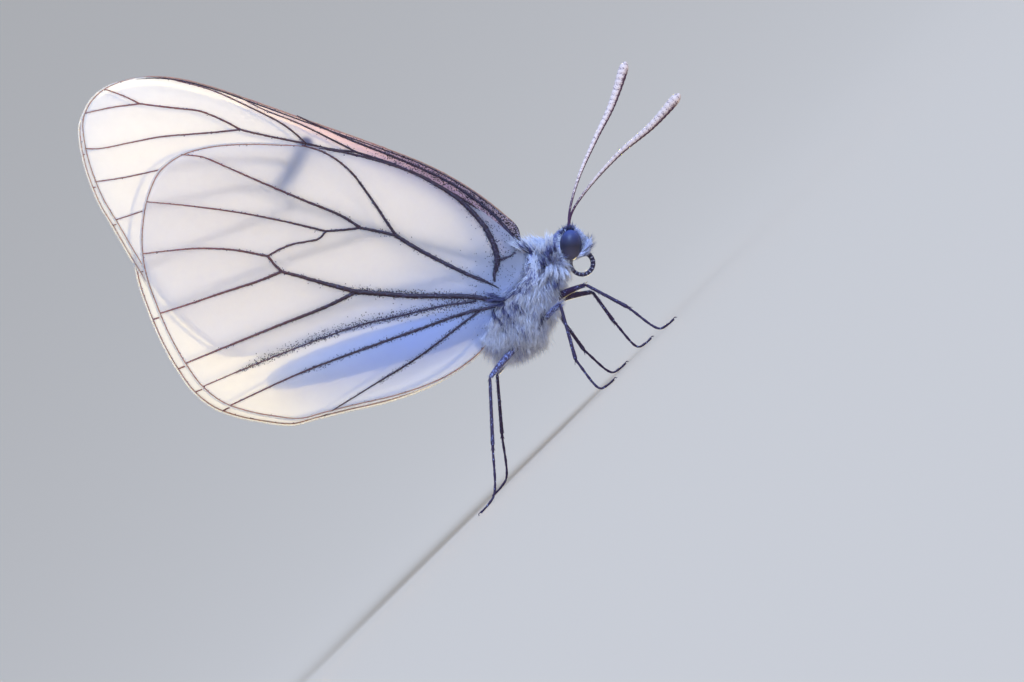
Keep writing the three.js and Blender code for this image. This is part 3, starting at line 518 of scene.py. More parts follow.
def vein_material():
    """Dark cuticle tube, turning red-brown towards the margin, partly as painted glow of light through it, and
    orange along the costal edge as painted rim light.
    """
    material, tree = new_material("wing_vein", {"Roughness": 0.45})
    tone = colour_ramp(tree, kept_value(tree, "vein_tone_and_painted_glow"), [
        (0, (0.075, 0.05, 0.09, 1)), (0.4, (0.15, 0.075, 0.075, 1)), (0.8, (0.62, 0.25, 0.19, 1)),
        (1, (0.97, 0.58, 0.38, 1)),
    ])
    grain = add_node(tree, "TexNoise", {"Vector": place_on_piece(tree), "Scale": 9000})
    dust = add_node(tree, "Mix", {
        "Factor": 0.6, "A": tone, "B": grain.outputs["Color"],
    }, data_type="RGBA", blend_type="MULTIPLY")
    paint(tree, dust.outputs["Result"])
    relief(tree, grain.outputs["Fac"], 0.5, SCALE_RELIEF)
    let_through(tree, dust.outputs["Result"], 0.5)
    return material


MEMBRANE = membrane_material()
VEIN = vein_material()


def wing_rim(kind):
    """The margin's points, the way in from each, how far in the sheet ends there, and where the costa ends."""
    wing = WINGS[kind]
    rim = smooth_line(wing["outline"], count=AROUND + 1, closed=True)
    inwards = unit(np.array(wing["centre"]) - rim)
    costa = np.linalg.norm(rim - np.array(wing["costa_until"]), axis=1).argmin()
    turns = [costa, costa + 20, AROUND - 30, AROUND]
    inset = np.interp(np.arange(AROUND + 1), turns, [BARE_INSET, FRINGE_INSET, FRINGE_INSET, BARE_INSET])
    return rim, inwards, inset, costa


def room_inside(kind, points):
    """How far points of the flat wing are inside the sheet's edge. It is less than zero outside it."""
    rim, inwards, inset, _ = wing_rim(kind)
    edge = rim + inset[:, None] * inwards
    run = np.gradient(edge, axis=0)
    across = np.stack([-run[:, 1], run[:, 0]], axis=1)
    across *= (np.sign(np.sum(across * inwards, axis=1)) / np.linalg.norm(across, axis=1))[:, None]
    nearest = ((points[:, None] - edge[None]) ** 2).sum(axis=2).argmin(axis=1)
    return np.sum((points - edge[nearest]) * across[nearest], axis=1)


def sheet_dip(kind, flat):
    """How deep the sheet dips between the veins, at points of the flat wing."""
    lines = [smooth_line(points, 0.5) for _, _, points in WINGS[kind]["veins"]] + [wing_rim(kind)[0]]
    to_vein = np.min([distance_to_line(flat, line) for line in lines], axis=0)
    return -PLEAT * (1 - np.exp(-((to_vein / PLEAT_REACH) ** 2)))


def tint_along(flat, line, width, power=2):
    """How strong a tint is at points of the flat wing: 1 on its line, and fading over its half width."""
    return np.exp(-((distance_to_line(flat, line) / width) ** power))


def sheet_tints(kind, flat):
    """The tints of the sheet at points of the flat wing, for its material. The root tint holds painted shade.
    """
    wing = WINGS[kind]
    # The root tint: bluish scales over the lobe with painted shade of the thorax on them, and an even bluish
    # tone.
    root = LOBE_BLUE_AND_PAINTED_SHADE * tint_along(flat, np.array(HINGE_LOBE), wing["lobe_reach"]) + wing["bluish"]
    if kind == "hind":
        # Painted shade: a bluish band on the hindwing where the abdomen shades it.
        painted_shade = PAINTED_BODY_SHADE_STRENGTH * tint_along(flat, np.array(PAINTED_BODY_SHADE), PAINTED_BODY_SHADE_REACH)
        root = np.maximum(root, painted_shade * np.interp(flat[:, 0], [6, 16], [1, 0]))
    front_edge = smooth_line(wing["outline"], 0.4)
    front_edge = front_edge[: np.linalg.norm(front_edge - np.array(wing["costa_until"]), axis=1).argmin()]
    russet = tint_along(flat, front_edge, np.interp(flat[:, 0], [0, 12, 28], [1.8, 1.3, 0.5]), 4)
    russet *= wing["russet"] * np.interp(flat[:, 0], [0, 6, 18, 27], [1.0, 0.85, 0.45, 0.0])
    soot = sum(
        weight * tint_along(flat, smooth_line(points, 0.5), width) for weight, width, points in wing["soot"]
    )
    soot = 0.3 * np.minimum(soot, 1) + 0.06 * np.exp(-np.linalg.norm(flat, axis=1) / 2.0) - 0.004
    soot += 0.33 * np.clip(russet * 2.2 - 1.2, 0, 1)
    dusk = np.zeros(len(flat))
    for weight, width, points in wing["dusk"]:
        dusk += weight * tint_along(flat, smooth_line(points, 0.5), width, 4)
    return {"soot": soot, "dusk": dusk, "russet": russet, "root": root}


def membrane(kind, side_name, side):
    """One wing's sheet: rings of quads from its middle to its margin, on both faces, closed round the edge."""
    wing = WINGS[kind]
    rim, inwards, inset, _ = wing_rim(kind)
    rim = (rim + inset[:, None] * inwards)[:-1]
    centre = np.array(wing["centre"])
    shares = np.linspace(1, 0, RINGS + 1)[:-1]
    flat = np.vstack([centre + share * (rim - centre) for share in shares] + [centre[None]])
    pleat = sheet_dip(kind, flat)
    faces = []
    last = RINGS * AROUND
    for ring in range(RINGS - 1):
        for j in range(AROUND):
            a, b = ring * AROUND + j, ring * AROUND + (j + 1) % AROUND
            faces.append((a, b, b + AROUND, a + AROUND))
    for j in range(AROUND):
        faces.append((last - AROUND + j, last - AROUND + (j + 1) % AROUND, last))
    count = len(flat)
    inner = [tuple(count + i for i in reversed(face)) for face in faces]
    edge = [(j, count + j, count + (j + 1) % AROUND, (j + 1) % AROUND) for j in range(AROUND)]
    half = SHEET_THICKNESS / 2
    points = np.vstack([wing_place(kind, side, flat, pleat + out) for out in (half, -half)])
    piece = new_piece(f"{kind}wing_{side_name}_membrane", points, faces + inner + edge, MEMBRANE)
    turn_outwards(piece)
    for name, values in sheet_tints(kind, flat).items():
        point_values(piece, name, np.tile(values, 2))
    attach(piece, "root")
    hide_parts(f"{kind}wing_{side_name}")
    if side > 0:
        leave_out(far_sheets, piece)


def tube(path, radii, sides, squeeze=1.0):
    """Points and faces of a closed round tube along a path, all in one unit. Squeeze flattens it sideways."""
    path = np.asarray(path, float)
    radii = np.broadcast_to(np.asarray(radii, float).reshape(len(path), -1), (len(path), sides))[:, :, None]
    tangent = unit(np.gradient(path, axis=0))
    sideways = np.tile((0.0, 1.0, 0.0), (len(path), 1))
    lift = unit(sideways - np.sum(sideways * tangent, axis=1)[:, None] * tangent)
    across = np.cross(tangent, lift)
    turns = np.arange(sides) * 2 * math.pi / sides
    rings = (
        path[:, None]
        + radii * np.cos(turns)[None, :, None] * across[:, None]
        + squeeze * radii * np.sin(turns)[None, :, None] * lift[:, None]
    ).reshape(-1, 3)
    faces = []
    for ring in range(len(path) - 1):
        for j in range(sides):
            a, b = ring * sides + j, ring * sides + (j + 1) % sides
            faces.append((a, b, b + sides, a + sides))
    faces.append(tuple(range(sides))[::-1])
    faces.append(tuple(range((len(path) - 1) * sides, len(path) * sides)))
    return rings, faces


def joined(parts):
    """Points and faces of several shapes as one list of each."""
    points, faces, start = [], [], 0
    for some_points, some_faces in parts:
        points.append(some_points)
        faces += [tuple(start + i for i in face) for face in some_faces]
        start += len(some_points)
    return np.vstack(points), faces


grain_rng = np.random.default_rng(11)
VEIN_STEP = 0.13
VEIN_SIDES = 8
VEIN_ROUGHNESS = 0.13  # of its half width, where scales stand out from it
VEIN_SQUEEZE = 0.9
HINGE_TAPER = 1.5  # the length over which a vein thins towards the hinge


def vein_lines(kind):
    """Each vein's course on the flat wing, with its half width and its tone at each point."""
    wing = WINGS[kind]
    reach = np.linalg.norm(np.array(wing["outline"]), axis=1).max()
    rim, inwards, inset, costa = wing_rim(kind)
    lines = []
    for start, end, points in wing["veins"]:
        line = smooth_line(points, VEIN_STEP)
        share = np.linspace(0, 1, len(line))
        stays = (room_inside(kind, line) > -0.02) | (share < 0.5)
        line, share = line[stays], share[stays]
        # The tone grows towards the margin, where the veins turn red-brown, partly as painted glow of light
        # through them.
        tone = 0.9 * np.clip(np.linalg.norm(line, axis=1) / reach, 0, 1) ** 1.15
        half = start + (end - start) * share
        if np.linalg.norm(points[0]) < 1.6:
            half *= np.interp(share * len(line) * VEIN_STEP, [0, HINGE_TAPER], [0.3, 1.0])
        lines.append((line, half, tone))
    for out, half, tone, first, until in wing["edges"]:
        last = {"costa": costa + 4, "end": AROUND - 4}[until]
        line = smooth_line((rim + (inset + out)[:, None] * inwards)[int(first * costa):last], VEIN_STEP)
        share = np.linspace(0, 1, len(line))
        tapered = np.interp(share, [0, 0.06, 0.94, 1], [0.3 * half, half, half, 0.3 * half])
        lines.append((line, tapered, np.full(len(line), tone)))
    return lines


def wing_veins(kind, side_name, side):
    """The veins and the thickened edge of one wing, as tapered tubes half sunk in its sheet."""
    tubes, vein_tone_and_painted_glow = [], []
    for line, half, tone in vein_lines(kind):
        rough = 1 + VEIN_ROUGHNESS * grain_rng.normal(size=(len(line), VEIN_SIDES)).clip(-2, 2)
        tubes.append(tube(wing_place(kind, side, line), half[:, None] * rough * MM, VEIN_SIDES, VEIN_SQUEEZE))
        vein_tone_and_painted_glow.append(np.repeat(tone, VEIN_SIDES))
    points, faces = joined(tubes)
    piece = new_piece(f"{kind}wing_{side_name}_veins", points, faces, VEIN)
    turn_outwards(piece)
    point_values(piece, "vein_tone_and_painted_glow", np.concatenate(vein_tone_and_painted_glow))
    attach(piece, "root")


def dark_scale_material():
    """Single dark scales, from brown-black to slate."""
    material, tree = new_material("dark_scales", {"Roughness": 0.6})
    paint(tree, colour_ramp(tree, kept_value(tree, "tone"), [
        (0, (0.035, 0.022, 0.035, 1)), (1, (0.20, 0.17, 0.27, 1)),
    ]))
    return material


DARK_SCALES = dark_scale_material()
PLATE = [(0, 2, 4), (2, 1, 4), (1, 3, 4), (3, 0, 4), (2, 0, 5), (1, 2, 5), (3, 1, 5), (0, 3, 5)]
VEIN_SCALES = 46  # for each millimetre of a vein at the root
SOOT_SCALES = 26  # for each millimetre of a sooty patch where it is darkest


def plates(name, kind, side, middles, turns, sizes, out, material):
    """Flat pointed scales on a wing: each has four corners and a crown on both faces."""
    run = np.stack([np.cos(turns), np.sin(turns)], axis=1)
    aside = np.stack([-run[:, 1], run[:, 0]], axis=1)
    long, wide, thick = (sizes[:, i] / 2 for i in range(3))
    corners = []
    for flat, lift in (
        (middles - run * long[:, None], out), (middles + run * long[:, None], out),
        (middles - aside * wide[:, None], out), (middles + aside * wide[:, None], out),
        (middles, out + thick), (middles, out - thick),
    ):
        corners.append(wing_place(kind, side, flat, lift))
    points = np.stack(corners, axis=1).reshape(-1, 3)
    faces = [tuple(6 * i + corner for corner in face) for i in range(len(middles)) for face in PLATE]
    piece = new_piece(name, points, faces, material)
    turn_outwards(piece)
    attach(piece, "root")
    return piece


def vein_scales(kind, side_name, side):
    """Dark scales on and beside the veins, closest near the root, on both faces of a wing."""
    middles, heights, turns = [], [], []
    for line, half, _ in vein_lines(kind):
        near = np.exp(-np.linalg.norm(line, axis=1) / 11)
        count = grain_rng.poisson(VEIN_STEP * VEIN_SCALES * near * (half / 0.12))
        pick = np.repeat(np.arange(len(line)), count)
        run = unit(np.gradient(line, axis=0))
        off = half[pick] * grain_rng.normal(0, 0.95, len(pick))
        aside = np.stack([-run[pick, 1], run[pick, 0]], axis=1)
        middles.append(line[pick] + off[:, None] * aside)
        heights.append(0.9 * np.sqrt(np.maximum(half[pick] ** 2 - off**2, 0)))
        turns.append(np.arctan2(run[pick, 1], run[pick, 0]) + grain_rng.normal(0, 0.5, len(pick)))
    for weight, width, points in WINGS[kind]["soot"]:
        line = smooth_line(points, VEIN_STEP)
        fade = np.linspace(1, 0.1, len(line))
        count = grain_rng.poisson(VEIN_STEP * SOOT_SCALES * weight * fade)
        pick = np.repeat(np.arange(len(line)), count)
        middles.append(line[pick] + grain_rng.normal(0, width, (len(pick), 2)))
        heights.append(np.zeros(len(pick)))
        run = np.gradient(line, axis=0)[pick]
        turns.append(np.arctan2(run[:, 1], run[:, 0]) + grain_rng.normal(0, 0.7, len(pick)))
    middles, heights, turns = np.vstack(middles), np.concatenate(heights), np.concatenate(turns)
    stays = room_inside(kind, middles) > 0.06
    middles, heights, turns = middles[stays], heights[stays], turns[stays]
    face = np.where(grain_rng.random(len(middles)) < 0.6, 1.0, -1.0)
    out = sheet_dip(kind, middles) + face * (np.maximum(heights, SHEET_THICKNESS / 2) + 0.012)
    sizes = np.stack([
        grain_rng.uniform(0.07, 0.125, len(middles)), grain_rng.uniform(0.06, 0.09, len(middles)),
        np.full(len(middles), 0.025),
    ], axis=1)
    piece = plates(f"{kind}wing_{side_name}_dark_scales", kind, side, middles, turns, sizes, out, DARK_SCALES)
    point_values(piece, "tone", np.repeat(grain_rng.random(len(middles)) ** 1.5, 6))


FRINGE_LENGTH = 0.2
FRINGE_WIDTH = 0.075
FRINGE_THICKNESS = 0.022
FRINGE_STEP = 0.05
FRINGE_LINE = 0.165  # how far in from the margin the middles of the scales lie


def wing_fringe(kind, side_name, side):
    """The fringe: narrow white scales that stand out from the margin in the plane of the wing."""
    rim, inwards, inset, _ = wing_rim(kind)
    stands = inset > FRINGE_FROM
    line = smooth_line((rim + FRINGE_LINE * inwards)[stands], FRINGE_STEP)
    run = np.gradient(line, axis=0)
    outward = np.arctan2(-run[:, 0], run[:, 1])
    centre = np.array(WINGS[kind]["centre"])
    facing = np.sum((line - centre) * np.stack([np.cos(outward), np.sin(outward)], axis=1), axis=1)
    outward = np.where(facing < 0, outward + math.pi, outward) + grain_rng.normal(0, 0.22, len(line))
    sizes = np.tile((FRINGE_LENGTH, FRINGE_WIDTH, FRINGE_THICKNESS), (len(line), 1))
    sizes[:, 0] *= grain_rng.uniform(0.75, 1.05, len(line))
    out = sheet_dip(kind, line) + grain_rng.uniform(-0.012, 0.012, len(line))
    plates(f"{kind}wing_{side_name}_fringe", kind, side, line, outward, sizes, out, MEMBRANE)


for wing_kind in ("fore", "hind"):
    for side_word, side_sign in (("right", -1), ("left", 1)):
        membrane(wing_kind, side_word, side_sign)
        wing_veins(wing_kind, side_word, side_sign)
        vein_scales(wing_kind, side_word, side_sign)
        wing_fringe(wing_kind, side_word, side_sign)


# ---- Body ----
# Abdomen, thorax and head are one soft body under one skin of dark cuticle: thickest where the wing muscles
# are, narrow at the waist and the neck, and ringed along the abdomen. The hair is rooted in it.

HEAD_AT = (5.35, 0.0, 9.11)
HEAD_DROOP = math.radians(45)
HEAD_FORM = ((0.08, 0.0, 0.16), (1.0, 0.80, 0.92))  # middle and half sizes, on the head
ABDOMEN_PATH = [(-2.2, 0, 9.1), (-3.55, 0, 9.82), (-10.2, 0, 13.56), (-16.7, 0, 17.05)]
ABDOMEN_HALF = [
    (0, 0.6), (0.08, 0.9), (0.2, 1.18), (0.35, 1.28), (0.55, 1.27), (0.75, 1.12), (0.88, 0.86), (0.96, 0.6),
    (1, 0.2),
]
ABDOMEN_RINGS = 8
RING_DEPTH = 0.05  # of the half width, where two rings meet
THORAX_PATH = [(-3.35, 0, 9.55), (-1.4, 0, 8.45), (2.0, 0, 9.1), (4.6, 0, 9.8)]
THORAX_HALF = [
    (0, 0.9), (0.12, 1.45), (0.3, 1.82), (0.5, 1.88), (0.68, 1.62), (0.84, 1.2), (0.95, 0.9), (1, 0.55),
]
THORAX_TALL = 1.15
NECK = ((4.55, 0, 9.6), 0.72)
SKIN_GRAIN = 0.11


def on_head(places):
    """Places given as front, out and up on the head, in the body's frame."""
    places = np.atleast_2d(np.array(places, float))
    cos, sin = math.cos(HEAD_DROOP), math.sin(HEAD_DROOP)
    x = HEAD_AT[0] + places[:, 0] * cos + places[:, 2] * sin
    z = HEAD_AT[2] - places[:, 0] * sin + places[:, 2] * cos
    return np.stack([x, places[:, 1], z], axis=1)


def placed(points):
    """Points in millimetres from the floor under the middle feet, in metres from the frame's origin."""
    return (np.asarray(points) + np.array(ZERO)) * MM


def profile_at(profile, shares):
    return np.interp(shares, [share for share, _ in profile], [half for _, half in profile])


def skin_material():
    """Cuticle dusted grey-blue and white, that shows only between the hairs."""
    material, tree = new_material("body_skin", {"Roughness": 0.6})
    speckle = add_node(tree, "Group", {"Cells": 14000, "Density": 0.55}, node_tree=SPECKLE)
    paint(tree, mixed(tree, speckle.outputs["Mask"], (0.52, 0.53, 0.76, 1), (0.86, 0.85, 1.0, 1)))
    relief(tree, speckle.outputs["Height"], 0.5, SCALE_RELIEF)
    return material


SKIN = skin_material()
forms = []
abdomen_line = smooth_line(ABDOMEN_PATH, 0.2)
abdomen_share = np.linspace(0, 1, len(abdomen_line))
abdomen_ring = 1 - RING_DEPTH * np.abs(np.sin(abdomen_share * ABDOMEN_RINGS * math.pi)) ** 6
abdomen_half = profile_at(ABDOMEN_HALF, abdomen_share) * abdomen_ring
forms.append(new_piece("abdomen_form", *tube(abdomen_line, abdomen_half, 32), SKIN))
thorax_line = smooth_line(THORAX_PATH, 0.2)
thorax_half = profile_at(THORAX_HALF, np.linspace(0, 1, len(thorax_line))) * THORAX_TALL
forms.append(new_piece("thorax_form", *tube(thorax_line, thorax_half, 40, 1 / THORAX_TALL), SKIN))
bpy.ops.mesh.primitive_uv_sphere_add(segments=32, ring_count=24, radius=NECK[1], location=NECK[0])
forms.append(bpy.context.object)
bpy.ops.mesh.primitive_uv_sphere_add(segments=40, ring_count=28, radius=1, location=on_head(HEAD_FORM[0])[0])
bpy.context.object.scale = HEAD_FORM[1]
bpy.context.object.rotation_euler = (0, HEAD_DROOP, 0)
forms.append(bpy.context.object)
for form in forms:
    form.select_set(True)
skin = forms[0]
bpy.context.view_layer.objects.active = skin
bpy.ops.object.join()
skin.name = "body_skin"
grain = skin.modifiers.new("one_skin", "REMESH")
grain.mode = "VOXEL"
grain.voxel_size = SKIN_GRAIN
bpy.ops.object.modifier_apply(modifier=grain.name)
ease = skin.modifiers.new("ease", "SMOOTH")
ease.factor = 0.5
ease.iterations = 10
bpy.ops.object.modifier_apply(modifier=ease.name)
skin.scale = (MM, MM, MM)
skin.location = ZERO * MM
bpy.ops.object.transform_apply(location=True, rotation=True, scale=True)
bpy.ops.object.shade_smooth()
skin.data.materials.clear()
skin.data.materials.append(SKIN)
skin.select_set(False)
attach(skin, "root")
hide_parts("head", "thorax", "abdomen")


# ---- Coat ----
# Long fine hair covers the thorax and the head, white and blue-grey with dark strands in it, and shorter
# hair lies flat on the abdomen. It stands in the skin, leans back and down, and gathers into locks.

HAIR_LIE = np.array([  # x, z, lie along x, lie along z, length
    (3.87, 9.06, 0.32, 0.95, 1.30), (3.21, 9.32, -0.32, 0.95, 1.10), (2.39, 9.72, -1.00, -0.07, 1.30),
    (0.92, 9.57, -0.99, -0.14, 1.44), (-0.10, 9.06, -0.55, -0.83, 1.44), (1.17, 8.81, -0.41, -0.91, 1.44),
    (2.44, 8.55, -0.59, -0.80, 1.30), (3.31, 8.20, -0.55, -0.83, 1.08), (4.02, 8.50, -0.25, -0.97, 0.86),
    (-0.87, 8.81, -0.32, -0.95, 1.80), (-1.12, 9.57, -0.63, -0.77, 1.44), (-0.10, 7.53, -0.63, -0.77, 1.80),
    (1.53, 7.43, -0.71, -0.71, 1.30), (-1.88, 10.34, -0.89, -0.46, 1.44), (-1.37, 6.77, -0.63, -0.77, 1.44),
    (-2.39, 8.81, -0.77, -0.63, 1.58), (-3.67, 11.61, -0.93, 0.36, 0.86), (4.73, 9.52, -0.61, 0.79, 0.60),
    (4.48, 8.35, -0.25, -0.97, 0.72), (3.3, 10.6, -0.5, 0.86, 1.2), (1.5, 11.3, -0.95, 0.3, 1.3),
    (3.4, 7.4, -0.8, -0.6, 0.9), (1.2, 6.6, -0.9, -0.45, 1.2),
])
ABDOMEN_LIE = np.array([(x, z, -0.88, 0.48, 0.5) for x, z in abdomen_line[::8, [0, 2]]])
HEAD_LIE = np.array([
    (5.45, 10.13, 0.11, 0.99, 0.50), (6.11, 10.18, 0.71, 0.71, 0.50), (6.57, 9.32, 1.00, 0.03, 0.55),
    (6.26, 8.50, 0.97, -0.22, 0.60), (5.2, 8.1, 0.2, -0.98, 0.60), (4.48, 8.35, -0.25, -0.97, 0.72),
    (4.73, 9.52, -0.61, 0.79, 0.50), (4.9, 10.1, -0.4, 0.92, 0.55),
])
DARK_LOCKS = [  # x, z, reach, strength
    (-0.81, 9.67, 0.6, 0.4), (2.34, 10.0, 0.5, 0.2), (1.2, 9.6, 0.5, 0.2), (0.1, 9.5, 0.5, 0.2),
    (3.97, 9.67, 0.4, 0.3), (5.04, 10.13, 0.5, 0.7), (-1.68, 6.9, 0.5, 0.25),
    (5.6, 10.3, 0.4, 0.8), (6.6, 9.6, 0.35, 0.35),
]
EYE = {"middle": (0.18, 0.6, 0.07), "half": (0.79, 0.75, 1.09)}
rng = np.random.default_rng(7)


def skin_places(count, weigh):
    """Random places on the skin with the way out of it, denser where weigh is higher."""
    mesh = skin.data
    mesh.calc_loop_triangles()
    points = np.empty(len(mesh.vertices) * 3)
    mesh.vertices.foreach_get("co", points)
    points = points.reshape(-1, 3) / MM - np.array(ZERO)
    normals = np.empty(len(mesh.vertices) * 3)
    mesh.vertex_normals.foreach_get("vector", normals)
    normals = normals.reshape(-1, 3)
    corners = np.empty(len(mesh.loop_triangles) * 3, int)
    mesh.loop_triangles.foreach_get("vertices", corners)
    corners = corners.reshape(-1, 3)
    a, b, c = points[corners[:, 0]], points[corners[:, 1]], points[corners[:, 2]]
    size = np.linalg.norm(np.cross(b - a, c - a), axis=1)
    chance = size * weigh((a + b + c) / 3)
    pick = rng.choice(len(corners), count, p=chance / chance.sum())
    share = rng.random((count, 2))
    share = np.where(share.sum(axis=1, keepdims=True) > 1, 1 - share, share)
    weights = np.column_stack([1 - share.sum(axis=1), share])[:, :, None]
    roots = (points[corners[pick]] * weights).sum(axis=1)
    ways = (normals[corners[pick]] * weights).sum(axis=1)
    return roots, unit(ways)


def lie_on_skin(roots, ways, guides, reach, rise):
    """Which way the hair lies at each root, and how long it is there."""
    far = (roots[:, None, 0] - guides[None, :, 0]) ** 2 + (roots[:, None, 2] - guides[None, :, 1]) ** 2
    weight = np.exp(-far / reach**2) + 1e-9 / (1 + far)
    weight /= weight.sum(axis=1)[:, None]
    flat = weight @ guides[:, 2:4]
    lie = np.stack([flat[:, 0], np.zeros(len(roots)), flat[:, 1]], axis=1)
    lie -= np.minimum(np.sum(lie * ways, axis=1), 0)[:, None] * ways
    return unit(lie + rise[:, None] * ways), weight @ guides[:, 4]


def gathered(roots, tips, share, per_lock):
    """Draws the tips of neighbouring hairs together into locks, and numbers each hair's lock."""
    count = max(1, len(roots) // per_lock)
    tree = kdtree.KDTree(count)
    for index in range(count):
        tree.insert(roots[index], index)
    tree.balance()
    nearest = np.array([tree.find(root)[1] for root in roots])
    return tips + share * (tips[nearest] - tips), nearest


def along_body(points):
    """Share of the way from the tail to the face, and round the body, for the patches of the hairs."""
    line = np.vstack([abdomen_line[::-1], thorax_line[8:], on_head([HEAD_FORM[0], (0.9, 0, 0)])])
    step = np.linalg.norm(np.diff(line, axis=0), axis=1)
    run = np.concatenate([[0], np.cumsum(step)])
    near = ((points[:, None] - line[None]) ** 2).sum(axis=2).argmin(axis=1)
    off = points - line[near]
    return run[near] / run[-1], np.arctan2(off[:, 1], off[:, 2]) / (2 * math.pi) + 0.5


STRAND_SHARES = np.array([0.0, 0.35, 0.7])
STRAND_WIDTHS = np.array([0.75, 1.0, 0.62])
STRAND_FLATNESS = 0.7
PATCH = 0.003  # the side of each hair's own patch on the unwrapped skin


def strands(name, roots, ways, lies, tips, widths, tones):
    """Many tapered three-sided hairs as one mesh. Each starts along its lie and bends to its tip."""
    count = len(roots)
    lengths = np.linalg.norm(tips - roots, axis=1)[:, None]
    bends = (tips - roots) - lies * lengths
    across = np.cross(lies, ways)
    across /= np.linalg.norm(across, axis=1)[:, None] + 1e-9
    lift = np.cross(across, lies)
    points = np.empty((count, 10, 3))
    for ring, (share, wide) in enumerate(zip(STRAND_SHARES, STRAND_WIDTHS)):
        middle = roots + lies * lengths * share + bends * share**2
        for side in range(3):
            turn = math.radians(90 + 120 * side)
            out = math.cos(turn) * across + STRAND_FLATNESS * math.sin(turn) * lift
            points[:, ring * 3 + side] = middle + widths[:, None] / 2 * wide * out
    points[:, 9] = tips
    pattern = [(2, 1, 0)]
    for ring in range(2):
        for side in range(3):
            a, b = ring * 3 + side, ring * 3 + (side + 1) % 3
            pattern.append((a, b, b + 3, a + 3))
    pattern += [(6, 7, 9), (7, 8, 9), (8, 6, 9)]
    faces = []
    for start in range(0, count * 10, 10):
        faces += [tuple(start + corner for corner in face) for face in pattern]
    piece = new_piece(name, placed(points.reshape(-1, 3)), faces, HAIR)
    # Each hair darkens towards its root and lightens towards its tip: painted shade in the depth of the coat.
    shade = tones[:, None] + np.array([-0.10] * 3 + [0.0] * 3 + [0.05] * 3 + [0.08])[None]
    point_values(piece, "tone", np.clip(shade, 0, 1).reshape(-1))
    share, turn = along_body(roots)
    patch = np.empty((count, 10, 2))
    patch[:, :, 0] = share[:, None] + PATCH * (np.array([0, 0.5, 1] * 3 + [0.5]) - 0.5)
    patch[:, :, 1] = turn[:, None] + PATCH * (np.array([0] * 3 + [0.35] * 3 + [0.7] * 3 + [1]) - 0.5)
    corner = np.empty(len(piece.data.loops), int)
    piece.data.loops.foreach_get("vertex_index", corner)
    layout = piece.data.uv_layers.new(name="OFBake")
    layout.data.foreach_set("uv", np.clip(patch, 0.001, 0.999).reshape(-1, 2)[corner].reshape(-1))
    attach(piece, "root")


def hair_material():
    """Fine hair that lets some light through, from dark strands over slate to white, darkened at the roots by
    painted shade.
    """
    material, tree = new_material("coat_hair", {"Roughness": 0.5, "Specular IOR Level": 0.35})
    tone = colour_ramp(tree, kept_value(tree, "tone"), [
        (0, (0.032, 0.026, 0.055, 1)), (0.3, (0.30, 0.30, 0.56, 1)), (0.6, (0.79, 0.82, 1.0, 1)),
        (1, (0.98, 0.97, 1.0, 1)),
    ])
    paint(tree, tone)
    let_through(tree, tone, 0.4)
    return material


HAIR = hair_material()


def lock_tones(roots, lock, dark):
    """One tone for each lock, dark more often where the dark locks are, with a little spread in it."""
    chance = np.full(len(roots), dark)
    for x, z, reach, strength in DARK_LOCKS:
        chance += strength * np.exp(-((roots[:, 0] - x) ** 2 + (roots[:, 2] - z) ** 2) / reach**2)
    draw = rng.random(len(roots))[lock]
    tone = np.where(draw < chance[lock], 0.15 + 0.25 * rng.random(len(roots)), 0.7 + 0.3 * draw)
    return tone + 0.16 * (rng.random(len(roots)) - 0.5)


def in_eye(points, grow):
    """Whether places in the body's frame are inside an eye made larger by grow."""
    cos, sin = math.cos(HEAD_DROOP), math.sin(HEAD_DROOP)
    dx, dz = points[:, 0] - HEAD_AT[0], points[:, 2] - HEAD_AT[2]
    front, up = dx * cos - dz * sin, dx * sin + dz * cos
    middle, half = EYE["middle"], EYE["half"]
    reach = ((front - middle[0]) / (half[0] + grow)) ** 2 + ((up - middle[2]) / (half[2] + grow)) ** 2
    reach += ((np.abs(points[:, 1]) - middle[1]) / (half[1] + grow)) ** 2
    return reach < 1


DROOP = 0.25


def coat(name, count, weigh, guides, reach, rise, size, width, gather, per_lock, dark):
    """One layer of hair on the skin, denser where weigh is higher. Its lie and length follow the guides."""
    roots, ways = skin_places(count, weigh)
    lies, lengths = lie_on_skin(roots, ways, guides, reach, rise * (0.6 + 0.8 * rng.random(count)))
    lies = unit(lies + 0.16 * rng.normal(size=(count, 3)))
    lengths = lengths * size * (0.7 + 0.5 * rng.random(count))
    tips = roots + lies * lengths[:, None] - ways * (DROOP * rise * lengths)[:, None]
    tips, lock = gathered(roots, tips, gather, per_lock)
    tones = lock_tones(roots, lock, dark)
    keep = ~(in_eye(tips, 0.03) | in_eye((roots + tips) / 2, 0.03) | in_eye(roots, -0.05))
    widths = width * (0.7 + 0.6 * rng.random(count))
    roots = roots - 0.05 * ways
    strands(name, *(part[keep] for part in (roots, ways, lies, tips, widths, tones)))


def thorax_only(points):
    return ((points[:, 0] > -3.3) & (points[:, 0] < 4.6)).astype(float)


def head_only(points):
    return (points[:, 0] > 4.4).astype(float)


def abdomen_only(points):
    return (points[:, 0] < -2.6).astype(float)


